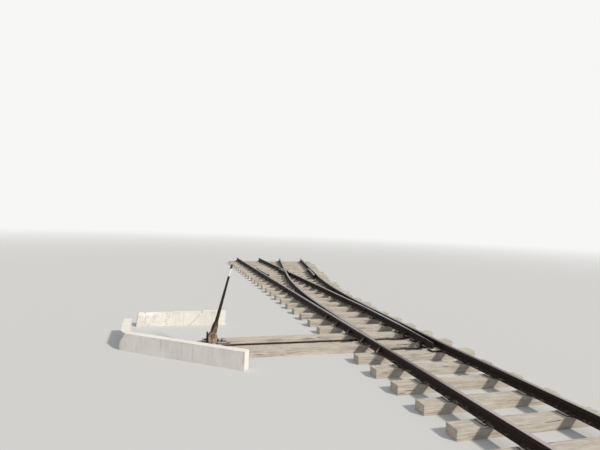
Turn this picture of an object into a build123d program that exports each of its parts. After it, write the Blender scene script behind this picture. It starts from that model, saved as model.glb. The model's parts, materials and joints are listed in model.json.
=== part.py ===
from build123d import *
import math
import os

# A hand-worked metre-gauge railway turnout with its lever stand and concrete kerb.
# Millimetres. +Y runs along the straight track from the points to the crossing,
# +X is the side the branch leaves on, z = 0 is the underside of the timbers.
# The origin lies under the timber at the points' toe, on the straight track's centreline.

# Track
gauge = 1000.0
near_end_y = -3450.0
far_end_y = 15200.0
joint_gap = 6.0

# Running rail section
rail_height = 130.0
head_width = 62.0
head_side = 36.0
head_slope = 8.0
web_thickness = 14.0
foot_width = 112.0
foot_edge = 9.0
foot_rise = 15.0
head_radius = 9.0
web_fillet = 6.0
planed_foot = 12.0

# Timbers and plates
timber_spacing = 600.0
timber_width = 200.0
timber_thickness = 120.0
timber_overhang = 419.0
timber_step = 150.0
switch_bays = 5
headblock_left_x = -3150.0
headblocks = (1, 2)
plate_thickness = 12.0
plate_length = 150.0
plate_margin = 34.0
plate_min_gap = 20.0
brace_width = 44.0
brace_inner = 13.0
brace_outer = 24.0
brace_toe = 86.0
brace_toe_height = 14.0

# Switch blades
blade_length = 3000.0
heel_divergence = 118.0
toe_thickness = 5.0
blade_gap = 1.5
blade_rise = 22.0
blade_web = 20.0
blade_foot_stock_side = 40.0
blade_foot_gauge_side = 70.0
blade_end_setback = 10.0
heel_pin_setback = 50.0
heel_boss_length = 120.0
heel_pin_radius = 15.0
heel_pin_clearance = 0.08
heel_pin_height = 60.0
rib_thickness = 18.0
rib_length = 1300.0
rib_shoulder = 36.0
toe_drop = 14.0
toe_drop_length = 800.0
slide_gap = 0.3
table_width = 150.0
table_side_gap = 1.5

# Throw linkage
rod_throw = 80.0
stretcher_top_z = 107.7
stretcher_thickness = 20.0
stretcher_width = 70.0
stretcher_overhang = 40.0
lug_width = 60.0
lug_thickness = 14.0
lug_tab_thickness = 10.0
lug_tab_reach = 22.0
lug_arm_z = 178.0
lug_foot_gap = 5.0
link_pin_radius = 9.0
link_pin_clearance = 1.0
link_pin_head = 8.0
link_pin_head_radius = 15.0
rod_radius = 16.0

# Crossing
crossing_ratio = 5.0
lead_in = 1000.0
flangeway = 44.0
nose_blunting = 60.0
nose_core_length = 450.0
nose_length = 950.0
nose_foot = 10.0
wing_start = 900.0
wing_end = 550.0
flare_length = 170.0
flare_angle = 9.0

# Check rails
check_flangeway = 42.0
check_half_length = 1050.0
check_flare_length = 220.0
check_flare_angle = 9.0
check_block_spacing = 600.0
block_length = 100.0
block_low = 36.0
block_high = 80.0
heel_block_distance = 230.0
seat_gap = 0.3

# Fishplates
outer_joint_y = 6000.0
fishplate_length = 450.0
fishplate_inner = 14.0
fishplate_outer = 26.0
bolt_hole_radius = 12.0
bolt_hole_first = 60.0
bolt_hole_pitch = 120.0
bolt_hole_height = 57.0

# Lever stand
lever_x = -3020.0
lever_lean = 13.4
stand_width = 260.0
stand_length = 640.0
stand_thickness = 20.0
slot_half_x = 90.0
slot_half_y = 30.0
cheek_gap = 66.0
cheek_thickness = 20.0
cheek_width = 140.0
cheek_top_width = 84.0
cheek_crown = 42.0
pivot_pin_radius = 18.0
pivot_clearance = 0.06
stop_inner_x = 72.0
stop_width = 24.0
stop_post_height = 178.0
stop_block_height = 60.0
tongue_reach = 236.0
tongue_width = 44.0
tongue_thickness = 22.0
tongue_offset = 88.0

# Rod guard
guard_start = 72.0
guard_width = 180.0
guard_base_height = 45.0
guard_hood_start = 141.0
guard_hood_length = 68.0
guard_hood_width = 112.0
guard_hood_height = 77.0
guard_slope = 24.0
guard_foot = 44.0
guard_thickness = 8.0

# Lever
boss_radius = 38.0
boss_width = 60.0
crank_thickness = 30.0
crank_width = 58.0
crank_slot_width = 31.0
crank_slot_margin = 4.0
crank_pin_radius = 14.0
socket_base_width = 98.0
socket_base_depth = 54.0
socket_shoulder_width = 88.0
socket_top_width = 60.0
socket_top_depth = 58.0
socket_start = 12.0
socket_shoulder = 152.0
socket_top = 212.0
bar_base_radius = 28.0
bar_top_radius = 14.5
bar_top = 1086.0
bar_sides = 12
tip_radius = 16.5
tip_chamfer = 4.0
tip_top = 1150.0
fork_tine_thickness = 12.0
fork_gap = 38.0
fork_height = 34.0
fork_reach = 60.0
fork_tail = 30.0
fork_root = 30.0

# Kerb
kerb_height = 270.0
kerb_thickness = 130.0
kerb_front_right = (350.0, -985.0)
kerb_front_left = (-1400.0, 325.0)
kerb_end_back = (-1430.0, 1400.0)
kerb_back_left = (-1270.0, 1975.0)
kerb_back_right = (425.0, 1930.0)

# Worked out from the values above
def timber_y(number):
    """Even bays as far as the blades' heel, the open spacing on either side of that."""
    if number <= 0:
        return number * timber_spacing
    if number <= switch_bays:
        return number * blade_length / switch_bays
    return blade_length + (number - switch_bays) * timber_spacing


half_gauge = gauge / 2
half_head = head_width / 2
half_web = web_thickness / 2
half_foot = foot_width / 2
timber_top = timber_thickness
rail_base = timber_top + plate_thickness
rail_top = rail_base + rail_height
rail_centre = half_gauge + half_head
blade_base = rail_base + blade_rise
blade_height = rail_height - blade_rise
toe_offset = toe_thickness + blade_gap
blade_angle = math.atan((heel_divergence - toe_offset) / blade_length)
crossing_angle = math.atan(1 / crossing_ratio)
turn_rise = gauge - heel_divergence - lead_in * math.sin(crossing_angle)
curve_radius = turn_rise / (math.cos(blade_angle) - math.cos(crossing_angle))
turn_run = curve_radius * (math.sin(crossing_angle) - math.sin(blade_angle))
crossing_y = blade_length + turn_run + lead_in * math.cos(crossing_angle)
pivot_y = blade_length - heel_pin_setback
front_stretcher_y = (timber_y(0) + timber_y(1)) / 2
rod_y = (timber_y(headblocks[0]) + timber_y(headblocks[1])) / 2
first_timber = -int((-near_end_y - timber_width / 2) / timber_spacing)
last_timber = switch_bays + int((far_end_y - timber_width / 2 - blade_length) / timber_spacing)
crossing_timber = switch_bays + math.ceil((crossing_y - wing_start - blade_length) / timber_spacing)
blade_centre_shift = half_head / math.cos(blade_angle)
stretcher_centre_z = stretcher_top_z - stretcher_thickness / 2
lever_pivot_drop = rod_throw / 2 / math.tan(math.radians(lever_lean))
lever_pivot_z = stretcher_centre_z + lever_pivot_drop
blade_swing = 2 * math.degrees(math.atan(rod_throw / 2 / (pivot_y - rod_y)))
front_throw = 2 * (pivot_y - front_stretcher_y) * math.tan(math.radians(blade_swing / 2))
crank_slot_inner = lever_pivot_drop - crank_slot_margin
crank_slot_outer = lever_pivot_drop / math.cos(math.radians(lever_lean)) + crank_slot_margin
lever_pin_x = lever_x - rod_throw / 2


def foot_top(x):
    return foot_edge + foot_rise * (half_foot - x) / (half_foot - half_web)


def head_underside(x, height=rail_height):
    return height - head_side - head_slope * (half_head - x) / (half_head - half_web)


def rail_section(height=rail_height, web=web_thickness, foot_left=half_foot, foot_right=half_foot):
    """Flat-bottomed rail outline in XZ, its foot on z = 0 and its web over x = 0."""
    w, r = web / 2, head_radius
    side = height - head_side
    neck = side - head_slope
    root = foot_edge + foot_rise
    cut = r * (1 - math.sqrt(0.5))
    outline = Polyline(
        (-foot_left, 0), (foot_right, 0), (foot_right, foot_edge), (w + web_fillet, foot_top(w + web_fillet)),
        (w, root + web_fillet), (w, neck - web_fillet), (w + web_fillet, head_underside(w + web_fillet, height)),
        (half_head, side), (half_head, height - r), (half_head - cut, height - cut), (half_head - r, height),
        (r - half_head, height), (cut - half_head, height - cut), (-half_head, height - r), (-half_head, side),
        (-w - web_fillet, head_underside(w + web_fillet, height)), (-w, neck - web_fillet), (-w, root + web_fillet),
        (-w - web_fillet, foot_top(w + web_fillet)), (-foot_left, foot_edge), close=True)
    return Plane.XZ * make_face(outline)


def turned(shape, point, degrees):
    """Turn a shape about the vertical through a point."""
    x, y = point
    return Pos(x, y, 0) * Rot(0, 0, degrees) * Pos(-x, -y, 0) * shape


def straight_rail(start, angle, length, section, base=rail_base):
    """A straight rail from start; angle in radians turns its run from +Y towards +X."""
    bar = extrude(section, amount=length, dir=(0, 1, 0))
    return Pos(start[0], start[1], base) * Rot(0, 0, -math.degrees(angle)) * bar


def curved_rail(offset, from_angle, to_angle, section):
    """The turnout curve at an offset to the right of the branch's left running edge."""
    centre, radius = curve_centre(), curve_radius - offset
    face = Rot(0, 0, -math.degrees(to_angle)) * Pos(-radius, 0, 0) * section
    bar = revolve(face, Axis.Z, math.degrees(to_angle - from_angle))
    return Pos(centre[0], centre[1], rail_base) * bar


def branch_start(offset):
    """Where the blade-angle line at this offset meets the toe."""
    x = -half_gauge + toe_offset + offset * math.cos(blade_angle)
    return x, -offset * math.sin(blade_angle)


def along(point, angle, distance):
    return point[0] + distance * math.sin(angle), point[1] + distance * math.cos(angle)


def curve_centre():
    start = along(branch_start(0), blade_angle, blade_length / math.cos(blade_angle))
    return start[0] + curve_radius * math.cos(blade_angle), start[1] - curve_radius * math.sin(blade_angle)


def curve_point(offset, angle):
    centre, radius = curve_centre(), curve_radius - offset
    return centre[0] - radius * math.cos(angle), centre[1] + radius * math.sin(angle)


def curve_angle_at(offset, y):
    return math.asin((y - curve_centre()[1]) / (curve_radius - offset))


def branch_point(offset, distance):
    """A point on the branch's straight beyond the curve, measured from the crossing point."""
    x = half_gauge + offset * math.cos(crossing_angle)
    y = crossing_y - offset * math.sin(crossing_angle)
    return along((x, y), crossing_angle, distance)


def branch_x(offset, y):
    """x of the branch line at this offset, at a given y."""
    start = branch_start(offset)
    if y < curve_point(offset, blade_angle)[1]:
        return start[0] + (y - start[1]) * math.tan(blade_angle)
    if y < curve_point(offset, crossing_angle)[1]:
        return curve_point(offset, curve_angle_at(offset, y))[0]
    point = branch_point(offset, 0)
    return point[0] + (y - point[1]) * math.tan(crossing_angle)


def box(x0, x1, y0, y1, z0, z1):
    return Pos((x0 + x1) / 2, (y0 + y1) / 2, (z0 + z1) / 2) * Box(x1 - x0, y1 - y0, z1 - z0)


def end_holes(x, end_y, inward):
    """Two fishbolt holes through the web of a rail that runs along Y."""
    holes = Part()
    for step in (0, 1):
        y = end_y + inward * (bolt_hole_first + step * bolt_hole_pitch)
        holes += Pos(x, y, rail_base + bolt_hole_height) * Rot(0, 90, 0) * Cylinder(bolt_hole_radius, 40)
    return holes


def stock_rail_left():
    length = outer_joint_y - joint_gap / 2 - near_end_y
    rail = straight_rail((-rail_centre, near_end_y), 0, length, rail_section())
    return rail - end_holes(-rail_centre, near_end_y, 1)


def outer_rail_left():
    start = outer_joint_y + joint_gap / 2
    rail = straight_rail((-rail_centre, start), 0, far_end_y - start, rail_section())
    return rail - end_holes(-rail_centre, far_end_y, -1)


def stock_rail_right():
    """Straight to just short of the toe, set over to the blade angle, then on the curve."""
    offset = gauge + half_head
    start = branch_start(offset)
    bend_y = start[1] + (rail_centre - start[0]) / math.tan(blade_angle)
    curve_start = curve_point(offset, blade_angle)
    approach = bent_rail([(rail_centre, near_end_y), (rail_centre, bend_y), curve_start], rail_section())
    joint_angle = curve_angle_at(offset, outer_joint_y) - joint_gap / 2 / curve_radius
    curve = curved_rail(offset, blade_angle, joint_angle, rail_section())
    return approach + curve - end_holes(rail_centre, near_end_y, 1)


def outer_rail_right():
    offset = gauge + half_head
    joint_angle = curve_angle_at(offset, outer_joint_y) + joint_gap / 2 / curve_radius
    curve = curved_rail(offset, joint_angle, crossing_angle, rail_section())
    start = curve_point(offset, crossing_angle)
    return curve + straight_rail(start, crossing_angle, branch_end_length(start), rail_section())


def branch_end_length(start):
    return (far_end_y - start[1]) / math.cos(crossing_angle)


def closure_rail_curved():
    curve = curved_rail(-half_head, blade_angle, crossing_angle, rail_section())
    start = curve_point(-half_head, crossing_angle)
    stop = branch_point(-half_head, -wing_start - joint_gap / 2)
    return curve + straight_rail(start, crossing_angle, math.dist(start, stop), rail_section())


def closure_rail_straight():
    stop = crossing_y - wing_start - joint_gap / 2
    return straight_rail((rail_centre, blade_length), 0, stop - blade_length, rail_section())


def bent_rail(points, section):
    """A rail through plan points, mitred at each bend."""
    path = Polyline([(x, y, rail_base) for x, y in points])
    first, second = points[0], points[1]
    angle = math.atan2(second[0] - first[0], second[1] - first[1])
    profile = Pos(first[0], first[1], rail_base) * Rot(0, 0, -math.degrees(angle)) * section
    return sweep(profile, path, transition=Transition.RIGHT)


def wing_rail_left():
    """Along the branch to the knuckle, then beside the nose, flared at its end."""
    x = half_gauge - flangeway - half_head
    side = (x - branch_point(-half_head, 0)[0]) / math.sin(crossing_angle)
    start = branch_point(-half_head, -wing_start + joint_gap / 2)
    knuckle = branch_point(-half_head, side)
    turn = (x, crossing_y + wing_end)
    tip = along(turn, -math.radians(flare_angle), flare_length)
    return bent_rail([start, knuckle, turn, tip], rail_section(foot_right=half_head + planed_foot))


def wing_rail_right():
    """Along the straight track to the knuckle, then beside the nose, flared at its end."""
    offset = flangeway + half_head
    side = (rail_centre - branch_point(offset, 0)[0]) / math.sin(crossing_angle)
    start = (rail_centre, crossing_y - wing_start + joint_gap / 2)
    knuckle = branch_point(offset, side)
    turn = branch_point(offset, wing_end)
    tip = along(turn, crossing_angle + math.radians(flare_angle), flare_length)
    return bent_rail([start, knuckle, turn, tip], rail_section(foot_left=half_head + planed_foot))


def crossing_nose():
    """Two rails planed to a common vee, solid at the nose, with their feet planed back."""
    root = rail_base + block_low
    length = nose_length - joint_gap / 2
    main = straight_rail((rail_centre, crossing_y), 0, length, rail_section(foot_left=half_head + nose_foot))
    wide, high = 3 * foot_width, rail_base + 2 * rail_height
    low_y, far_y = -nose_length, 2 * nose_length
    right_of_branch = Rot(0, 0, -math.degrees(crossing_angle)) * box(0, wide, low_y, far_y, root, high)
    right_of_foot = Rot(0, 0, -math.degrees(crossing_angle)) * box(nose_foot, wide, low_y, far_y, 0, root)
    at_nose = Pos(half_gauge, crossing_y, 0)
    main -= at_nose * right_of_branch
    main -= at_nose * right_of_foot
    start = branch_point(-half_head, 0)
    branch = straight_rail(start, crossing_angle, length, rail_section(foot_right=half_head + nose_foot))
    branch -= at_nose * box(-wide, 0, low_y, far_y, root, high)
    branch -= at_nose * box(-wide, -nose_foot, low_y, far_y, 0, root)
    slope = math.tan(crossing_angle)
    near, far = nose_blunting, nose_core_length
    core = make_face(Polyline((0, near), (near * slope, near), (far * slope, far), (0, far), close=True))
    core = at_nose * Pos(0, 0, rail_base) * extrude(core, amount=rail_height, dir=(0, 0, 1))
    blunt = at_nose * box(-wide, wide, low_y, nose_blunting, 0, high)
    return main + branch + core - blunt


def heel_rail_main():
    start = crossing_y + nose_length + joint_gap / 2
    rail = straight_rail((rail_centre, start), 0, far_end_y - start, rail_section())
    return rail - end_holes(rail_centre, far_end_y, -1)


def heel_rail_branch():
    start = branch_point(-half_head, nose_length + joint_gap / 2)
    return straight_rail(start, crossing_angle, branch_end_length(start), rail_section())


def check_rail_left():
    x = -half_gauge + check_flangeway + half_head
    straight = check_half_length - check_flare_length
    low, high = (x, crossing_y - straight), (x, crossing_y + straight)
    flare = math.radians(check_flare_angle)
    points = [along(low, -flare, -check_flare_length), low, high, along(high, flare, check_flare_length)]
    return bent_rail(points, rail_section(foot_left=half_head + planed_foot))


def check_rail_right():
    offset = gauge - check_flangeway - half_head
    straight = check_half_length - check_flare_length
    low, high = branch_point(offset, -straight), branch_point(offset, straight)
    flare = math.radians(check_flare_angle)
    points = [along(low, crossing_angle + flare, -check_flare_length), low, high,
              along(high, crossing_angle - flare, check_flare_length)]
    return bent_rail(points, rail_section(foot_right=half_head + planed_foot))


def web_block(point, angle, span):
    """A filler block between two webs; point is midway between them."""
    half = span / 2 - half_web - seat_gap
    block = box(-half, half, -block_length / 2, block_length / 2, block_low, block_high)
    return Pos(point[0], point[1], rail_base) * Rot(0, 0, -math.degrees(angle)) * block


def check_rail_blocks():
    span = check_flangeway + head_width
    spots = (-check_block_spacing, 0, check_block_spacing)
    blocks = [web_block((-rail_centre + span / 2, crossing_y + s), 0, span) for s in spots]
    offset = gauge + half_head - span / 2
    blocks += [web_block(branch_point(offset, s), crossing_angle, span) for s in spots]
    return Compound(children=blocks)


def nose_blocks():
    """Filler blocks in the flangeways between the nose and the two wing rails."""
    near, far = nose_blunting + 60, nose_core_length - 40
    half = flangeway + half_head - half_web
    left = box(-half + seat_gap, -seat_gap, near, far, block_low, block_high)
    right = Rot(0, 0, -math.degrees(crossing_angle)) * box(seat_gap, half - seat_gap, near, far, block_low, block_high)
    at_nose = Pos(half_gauge, crossing_y, rail_base)
    return Compound(children=[at_nose * left, at_nose * right])


def heel_block(left_line, right_line, y):
    """A wedge between two webs that spread apart; each line gives a rail's centre x at y."""
    y0, y1 = y - block_length / 2, y + block_length / 2
    reach = half_web + 2 * seat_gap
    corners = ((left_line(y0) + reach, y0), (right_line(y0) - reach, y0),
               (right_line(y1) - reach, y1), (left_line(y1) + reach, y1))
    block = extrude(make_face(Polyline(*corners, close=True)), amount=block_high - block_low, dir=(0, 0, 1))
    return Pos(0, 0, rail_base + block_low) * block


def heel_blocks():
    """Spacer blocks that hold each closure rail off its stock rail beyond the heel."""
    y = blade_length + heel_block_distance
    left = heel_block(lambda v: -rail_centre, lambda v: branch_x(-half_head, v), y)
    right = heel_block(lambda v: rail_centre, lambda v: branch_x(gauge + half_head, v), y)
    return Compound(children=[left, right])


def blade_line(y):
    """Local x of the blade's centre, the stock rail's running edge being x = 0."""
    return toe_offset + y * math.tan(blade_angle) - blade_centre_shift


def blade_end():
    return blade_length - blade_end_setback


def lug_throw(y):
    return 2 * (pivot_y - y) * math.tan(math.radians(blade_swing / 2))


def blade_lug(y):
    """A bracket bolted to the blade's web that reaches under its foot to the stretcher."""
    centre = blade_line(y)
    web_face = max(blade_gap + rib_thickness, centre + blade_web / 2) - 2
    leg = centre + blade_foot_gauge_side + lug_foot_gap
    hole_x = blade_line(pivot_y) - lug_throw(y) / 2
    tab_z = stretcher_top_z + slide_gap
    y0, y1 = y - lug_width / 2, y + lug_width / 2
    lug = box(web_face, leg + lug_thickness, y0, y1, lug_arm_z, lug_arm_z + lug_thickness)
    lug += box(leg, leg + lug_thickness, y0, y1, tab_z, lug_arm_z + lug_thickness)
    lug += box(hole_x - lug_tab_reach, leg + lug_thickness, y0, y1, tab_z, tab_z + lug_tab_thickness)
    hole = Pos(hole_x, y, tab_z) * Cylinder(link_pin_radius + link_pin_clearance, 60)
    return lug - hole


def blade():
    """The left blade in its closed place: planed against x = 0, toe at y = 0, heel at +Y."""
    section = rail_section(blade_height, blade_web, blade_foot_stock_side, blade_foot_gauge_side)
    length = (blade_end() + 2 * heel_boss_length) / math.cos(blade_angle)
    start = along((blade_line(0), 0), blade_angle, -heel_boss_length)
    body = straight_rail(start, blade_angle, length, section, blade_base)
    boss_y = blade_end() - heel_boss_length
    boss = box(blade_line(boss_y) - half_head + 2, blade_line(blade_end()) + half_head - 2, boss_y, blade_end(),
               blade_base, rail_top - head_side / 2)
    rib = make_face(Polyline(
        (blade_gap, 0), (blade_gap + rib_thickness, 0), (blade_gap + rib_thickness, rib_shoulder),
        (toe_offset, blade_height - toe_drop), (blade_gap, blade_height - toe_drop), close=True))
    rib = Pos(0, 0, blade_base) * extrude(Plane.XZ * rib, amount=rib_length, dir=(0, 1, 0))
    body = body + boss + rib
    wide, high = 3 * foot_width, rail_base + 2 * rail_height
    low_y, far_y = -3 * foot_width, blade_length + 3 * foot_width
    body -= box(-wide, blade_gap, low_y, far_y, 0, high)
    body -= box(-wide, wide, low_y, 0, 0, high)
    body -= box(-wide, wide, blade_end(), far_y, 0, high)
    fall = make_face(Polyline((-1, -toe_drop), (toe_drop_length, 0), (toe_drop_length, head_side), (-1, head_side),
                              close=True))
    fall = extrude(Plane.YZ * fall, amount=2 * wide, dir=(1, 0, 0))
    body -= Pos(-wide, 0, rail_top) * fall
    pin_hole = Cylinder(heel_pin_radius + heel_pin_clearance, 2 * heel_pin_height + 8)
    body -= Pos(blade_line(pivot_y), pivot_y, blade_base) * pin_hole
    for y in (front_stretcher_y, rod_y):
        body += blade_lug(y)
    return body


def on_left(shape):
    return Pos(-half_gauge, 0, 0) * shape


def on_right(shape):
    return Pos(branch_x(gauge, 0), 0, 0) * Rot(0, 0, -math.degrees(blade_angle)) * mirror(shape, Plane.YZ)


def left_pivot():
    return -half_gauge + blade_line(pivot_y), pivot_y


def right_pivot():
    x, y = -blade_line(pivot_y), pivot_y
    c, s = math.cos(blade_angle), math.sin(blade_angle)
    return branch_x(gauge, 0) + x * c + y * s, y * c - x * s


def switch_blade_left():
    return on_left(blade())


def switch_blade_right():
    """The right blade stands open at rest."""
    return turned(on_right(blade()), right_pivot(), -blade_swing)


def rail_brace(y):
    """A cast rib on the outside of the stock rail, from the plate up under the head."""
    inner, outer, edge = -half_head - brace_inner, -half_head - brace_outer, -half_head - half_foot
    toe = -half_head - brace_toe
    outline = make_face(Polyline(
        (inner, foot_top(brace_inner) + seat_gap), (inner, head_underside(brace_inner) - seat_gap),
        (outer, head_underside(brace_outer) - seat_gap), (toe, brace_toe_height), (toe, 0), (edge - seat_gap, 0),
        (edge - seat_gap, foot_edge + seat_gap), close=True))
    rib = extrude(Plane.XZ * outline, amount=brace_width / 2, dir=(0, 1, 0), both=True)
    return Pos(0, y, rail_base) * rib


def slide_plate(y):
    """A plate under the stock rail with a brace outside it and a raised table inside."""
    low, high = y - plate_length / 2, y + plate_length / 2
    edge = half_foot - half_head + table_side_gap
    plate = box(-half_head - half_foot - plate_margin, edge + table_width, low, high, timber_top, rail_base)
    plate += box(edge, edge + table_width, low, high, rail_base, blade_base - slide_gap)
    return plate + rail_brace(y)


def slide_plates():
    return [slide_plate(timber_y(i)) for i in range(switch_bays)]


def heel_chair():
    """The plate at the blade's heel, with the pin that the blade turns on."""
    y0, y1 = blade_length - timber_width / 2 - 5, blade_length + timber_width / 2 - 5
    centre = blade_line(pivot_y)
    chair = box(-half_head - half_foot - plate_margin, centre + half_foot + plate_margin, y0, y1, timber_top, rail_base)
    left = centre - blade_foot_stock_side
    chair += box(left, centre + blade_foot_gauge_side, y0, blade_end(), rail_base, blade_base - slide_gap)
    pin = Cylinder(heel_pin_radius, heel_pin_height, align=(Align.CENTER, Align.CENTER, Align.MIN))
    return chair + Pos(centre, pivot_y, blade_base - slide_gap - 1) * pin


def rail_lines(y):
    """Centre x and run angle of every rail that a plain plate carries at y."""
    lines = [-rail_centre]
    if y < 0:
        return lines + [rail_centre]
    lines.append(branch_x(gauge + half_head, y))
    if y > blade_length:
        lines += [rail_centre, branch_x(-half_head, y)]
    if abs(y - crossing_y) < check_half_length:
        lines.append(-half_gauge + check_flangeway + half_head)
        lines.append(branch_x(gauge - check_flangeway - half_head, y))
    return sorted(lines)


def tie_plates(numbers):
    """Steel plates between the rails and the timbers, shared where rails run close together."""
    plates = []
    reach = half_foot + plate_margin
    for number in numbers:
        y = timber_y(number)
        spans = []
        for x in rail_lines(y):
            if spans and x - reach < spans[-1][1] + plate_min_gap:
                spans[-1][1] = x + reach
            else:
                spans.append([x - reach, x + reach])
        low, high = y - plate_length / 2, y + plate_length / 2
        plates += [box(a, b, low, high, timber_top, rail_base) for a, b in spans]
    return Compound(children=plates)


def timber(number):
    y = timber_y(number)
    reach = max(rail_centre, branch_x(gauge + half_head, y)) + timber_overhang
    steps = math.ceil((reach - rail_centre - timber_overhang) / timber_step)
    right = rail_centre + timber_overhang + steps * timber_step
    left = headblock_left_x if number in headblocks else -rail_centre - timber_overhang
    return box(left, right, y - timber_width / 2, y + timber_width / 2, 0, timber_top)


def timbers(numbers):
    return Compound(children=[timber(n) for n in numbers])


def fishplate(point, angle, side):
    """A bar wedged between head and foot on one side of a rail joint."""
    inner, outer = fishplate_inner, fishplate_outer
    outline = make_face(Polyline(
        (side * inner, foot_top(inner) + seat_gap), (side * outer, foot_top(outer) + seat_gap),
        (side * outer, head_underside(outer) - seat_gap), (side * inner, head_underside(inner) - seat_gap), close=True))
    bar = extrude(Plane.XZ * outline, amount=fishplate_length / 2, dir=(0, 1, 0), both=True)
    return Pos(point[0], point[1], rail_base) * Rot(0, 0, -math.degrees(angle)) * bar


def outer_fishplates():
    offset = gauge + half_head
    angle = curve_angle_at(offset, outer_joint_y)
    right = (branch_x(offset, outer_joint_y), outer_joint_y)
    bars = [fishplate((-rail_centre, outer_joint_y), 0, side) for side in (-1, 1)]
    return Compound(children=bars + [fishplate(right, angle, side) for side in (-1, 1)])


def crossing_fishplates():
    joints = [((rail_centre, crossing_y - wing_start), 0), (branch_point(-half_head, -wing_start), crossing_angle),
              ((rail_centre, crossing_y + nose_length), 0), (branch_point(-half_head, nose_length), crossing_angle)]
    return Compound(children=[fishplate(p, a, side) for p, a in joints for side in (-1, 1)])


def stretcher(y, throw):
    """A flat bar under the rails with an upright pin for each blade's lug."""
    left = left_pivot()[0] - throw / 2
    right = right_pivot()[0] - throw / 2
    z0 = stretcher_top_z - stretcher_thickness
    bar = box(left - stretcher_overhang, right + stretcher_overhang, y - stretcher_width / 2, y + stretcher_width / 2,
              z0, stretcher_top_z)
    collar = slide_gap + lug_tab_thickness + slide_gap
    for x in (left, right):
        seat = Pos(x, y, stretcher_top_z)
        low = (Align.CENTER, Align.CENTER, Align.MIN)
        bar += seat * Cylinder(link_pin_radius, collar + link_pin_head, align=low)
        bar += seat * Pos(0, 0, collar) * Cylinder(link_pin_head_radius, link_pin_head, align=low)
    return bar


def front_stretcher():
    return stretcher(front_stretcher_y, front_throw)


def rear_stretcher():
    return stretcher(rod_y, rod_throw)


def throw_rod():
    """A round rod from the crank's fork to the end of the rear stretcher."""
    z = stretcher_centre_z
    end = left_pivot()[0] - rod_throw / 2 - stretcher_overhang
    root = lever_pin_x + fork_reach
    rod = Pos((root + end) / 2, rod_y, z) * Rot(0, 90, 0) * Cylinder(rod_radius, end - root)
    inner, outer = fork_gap / 2, fork_gap / 2 + fork_tine_thickness
    z0, z1 = z - fork_height / 2, z + fork_height / 2
    rod += box(root, root + fork_root, rod_y - outer, rod_y + outer, z0, z1)
    for side in (-1, 1):
        y0, y1 = sorted((rod_y + side * inner, rod_y + side * outer))
        rod += box(lever_pin_x - fork_tail, root, y0, y1, z0, z1)
    hole = Pos(lever_pin_x, rod_y, z) * Rot(90, 0, 0) * Cylinder(crank_pin_radius, 2 * outer + 10)
    return rod - hole


def crank_pin():
    length = fork_gap + 2 * fork_tine_thickness + 12
    return Pos(lever_pin_x, rod_y, stretcher_centre_z) * Rot(90, 0, 0) * Cylinder(crank_pin_radius, length)


def lean(shape):
    """Set a shape built upright about the lever's pivot at its rest angle and place."""
    return Pos(lever_x, rod_y, lever_pivot_z) * Rot(0, lever_lean, 0) * shape


def socket_side(plane, widths, heights, way):
    """The socket as seen from one side, drawn out across it."""
    right = [(w / 2, z) for w, z in zip(widths, heights)]
    left = [(-x, z) for x, z in reversed(right)]
    return extrude(plane * make_face(Polyline(*right, *left, close=True)), amount=socket_base_width, dir=way, both=True)


def lever_forging():
    """Pivot boss, slotted crank arm below and shouldered socket above, in one forging."""
    boss = Rot(90, 0, 0) * Cylinder(boss_radius, boss_width)
    arm = box(-crank_width / 2, crank_width / 2, -crank_thickness / 2, crank_thickness / 2, -crank_slot_outer, 0)
    arm += Pos(0, 0, -crank_slot_outer) * Rot(90, 0, 0) * Cylinder(crank_width / 2, crank_thickness)
    slot = box(-crank_slot_width / 2, crank_slot_width / 2, -50, 50, -crank_slot_outer, -crank_slot_inner)
    for z in (crank_slot_inner, crank_slot_outer):
        slot += Pos(0, 0, -z) * Rot(90, 0, 0) * Cylinder(crank_slot_width / 2, 100)
    widths = (socket_base_width, socket_shoulder_width, socket_top_width)
    socket = socket_side(Plane.XZ, widths, (socket_start, socket_shoulder, socket_top), (0, 1, 0))
    socket &= socket_side(Plane.YZ, (socket_base_depth, socket_top_depth), (socket_start, socket_top), (1, 0, 0))
    forging = boss + arm + socket - slot
    return lean(forging - Rot(90, 0, 0) * Cylinder(pivot_pin_radius + pivot_clearance, 2 * boss_width))


def lever_bar():
    """A tapering bar forged with flats."""
    length = bar_top - socket_top
    taper = math.degrees(math.atan((bar_base_radius - bar_top_radius) / length))
    bar = extrude(RegularPolygon(bar_base_radius, bar_sides), amount=length, dir=(0, 0, 1), taper=taper)
    return lean(Pos(0, 0, socket_top) * bar)


def lever_tip():
    tip = extrude(RegularPolygon(tip_radius, bar_sides), amount=tip_top - bar_top, dir=(0, 0, 1))
    ends = tip.faces().filter_by(Axis.Z).edges()
    return lean(Pos(0, 0, bar_top) * chamfer(ends, tip_chamfer))


def pivot_pin():
    return lean(Rot(90, 0, 0) * Cylinder(pivot_pin_radius, cheek_gap + 2 * cheek_thickness + 16))


def stand_plate():
    """The plate across both headblocks, slotted for the crank, with a flat bar lying on it beside the far cheek."""
    w, l = stand_width / 2, stand_length / 2
    top = timber_top + stand_thickness
    plate = box(lever_x - w, lever_x + w, rod_y - l, rod_y + l, timber_top, top)
    tongue_y = rod_y + tongue_offset
    plate += box(lever_x - tongue_reach, lever_x + cheek_width / 2, tongue_y - tongue_width / 2,
                 tongue_y + tongue_width / 2, top, top + tongue_thickness)
    return plate - box(lever_x - slot_half_x, lever_x + slot_half_x, rod_y - slot_half_y, rod_y + slot_half_y, 0, top + 1)


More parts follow.
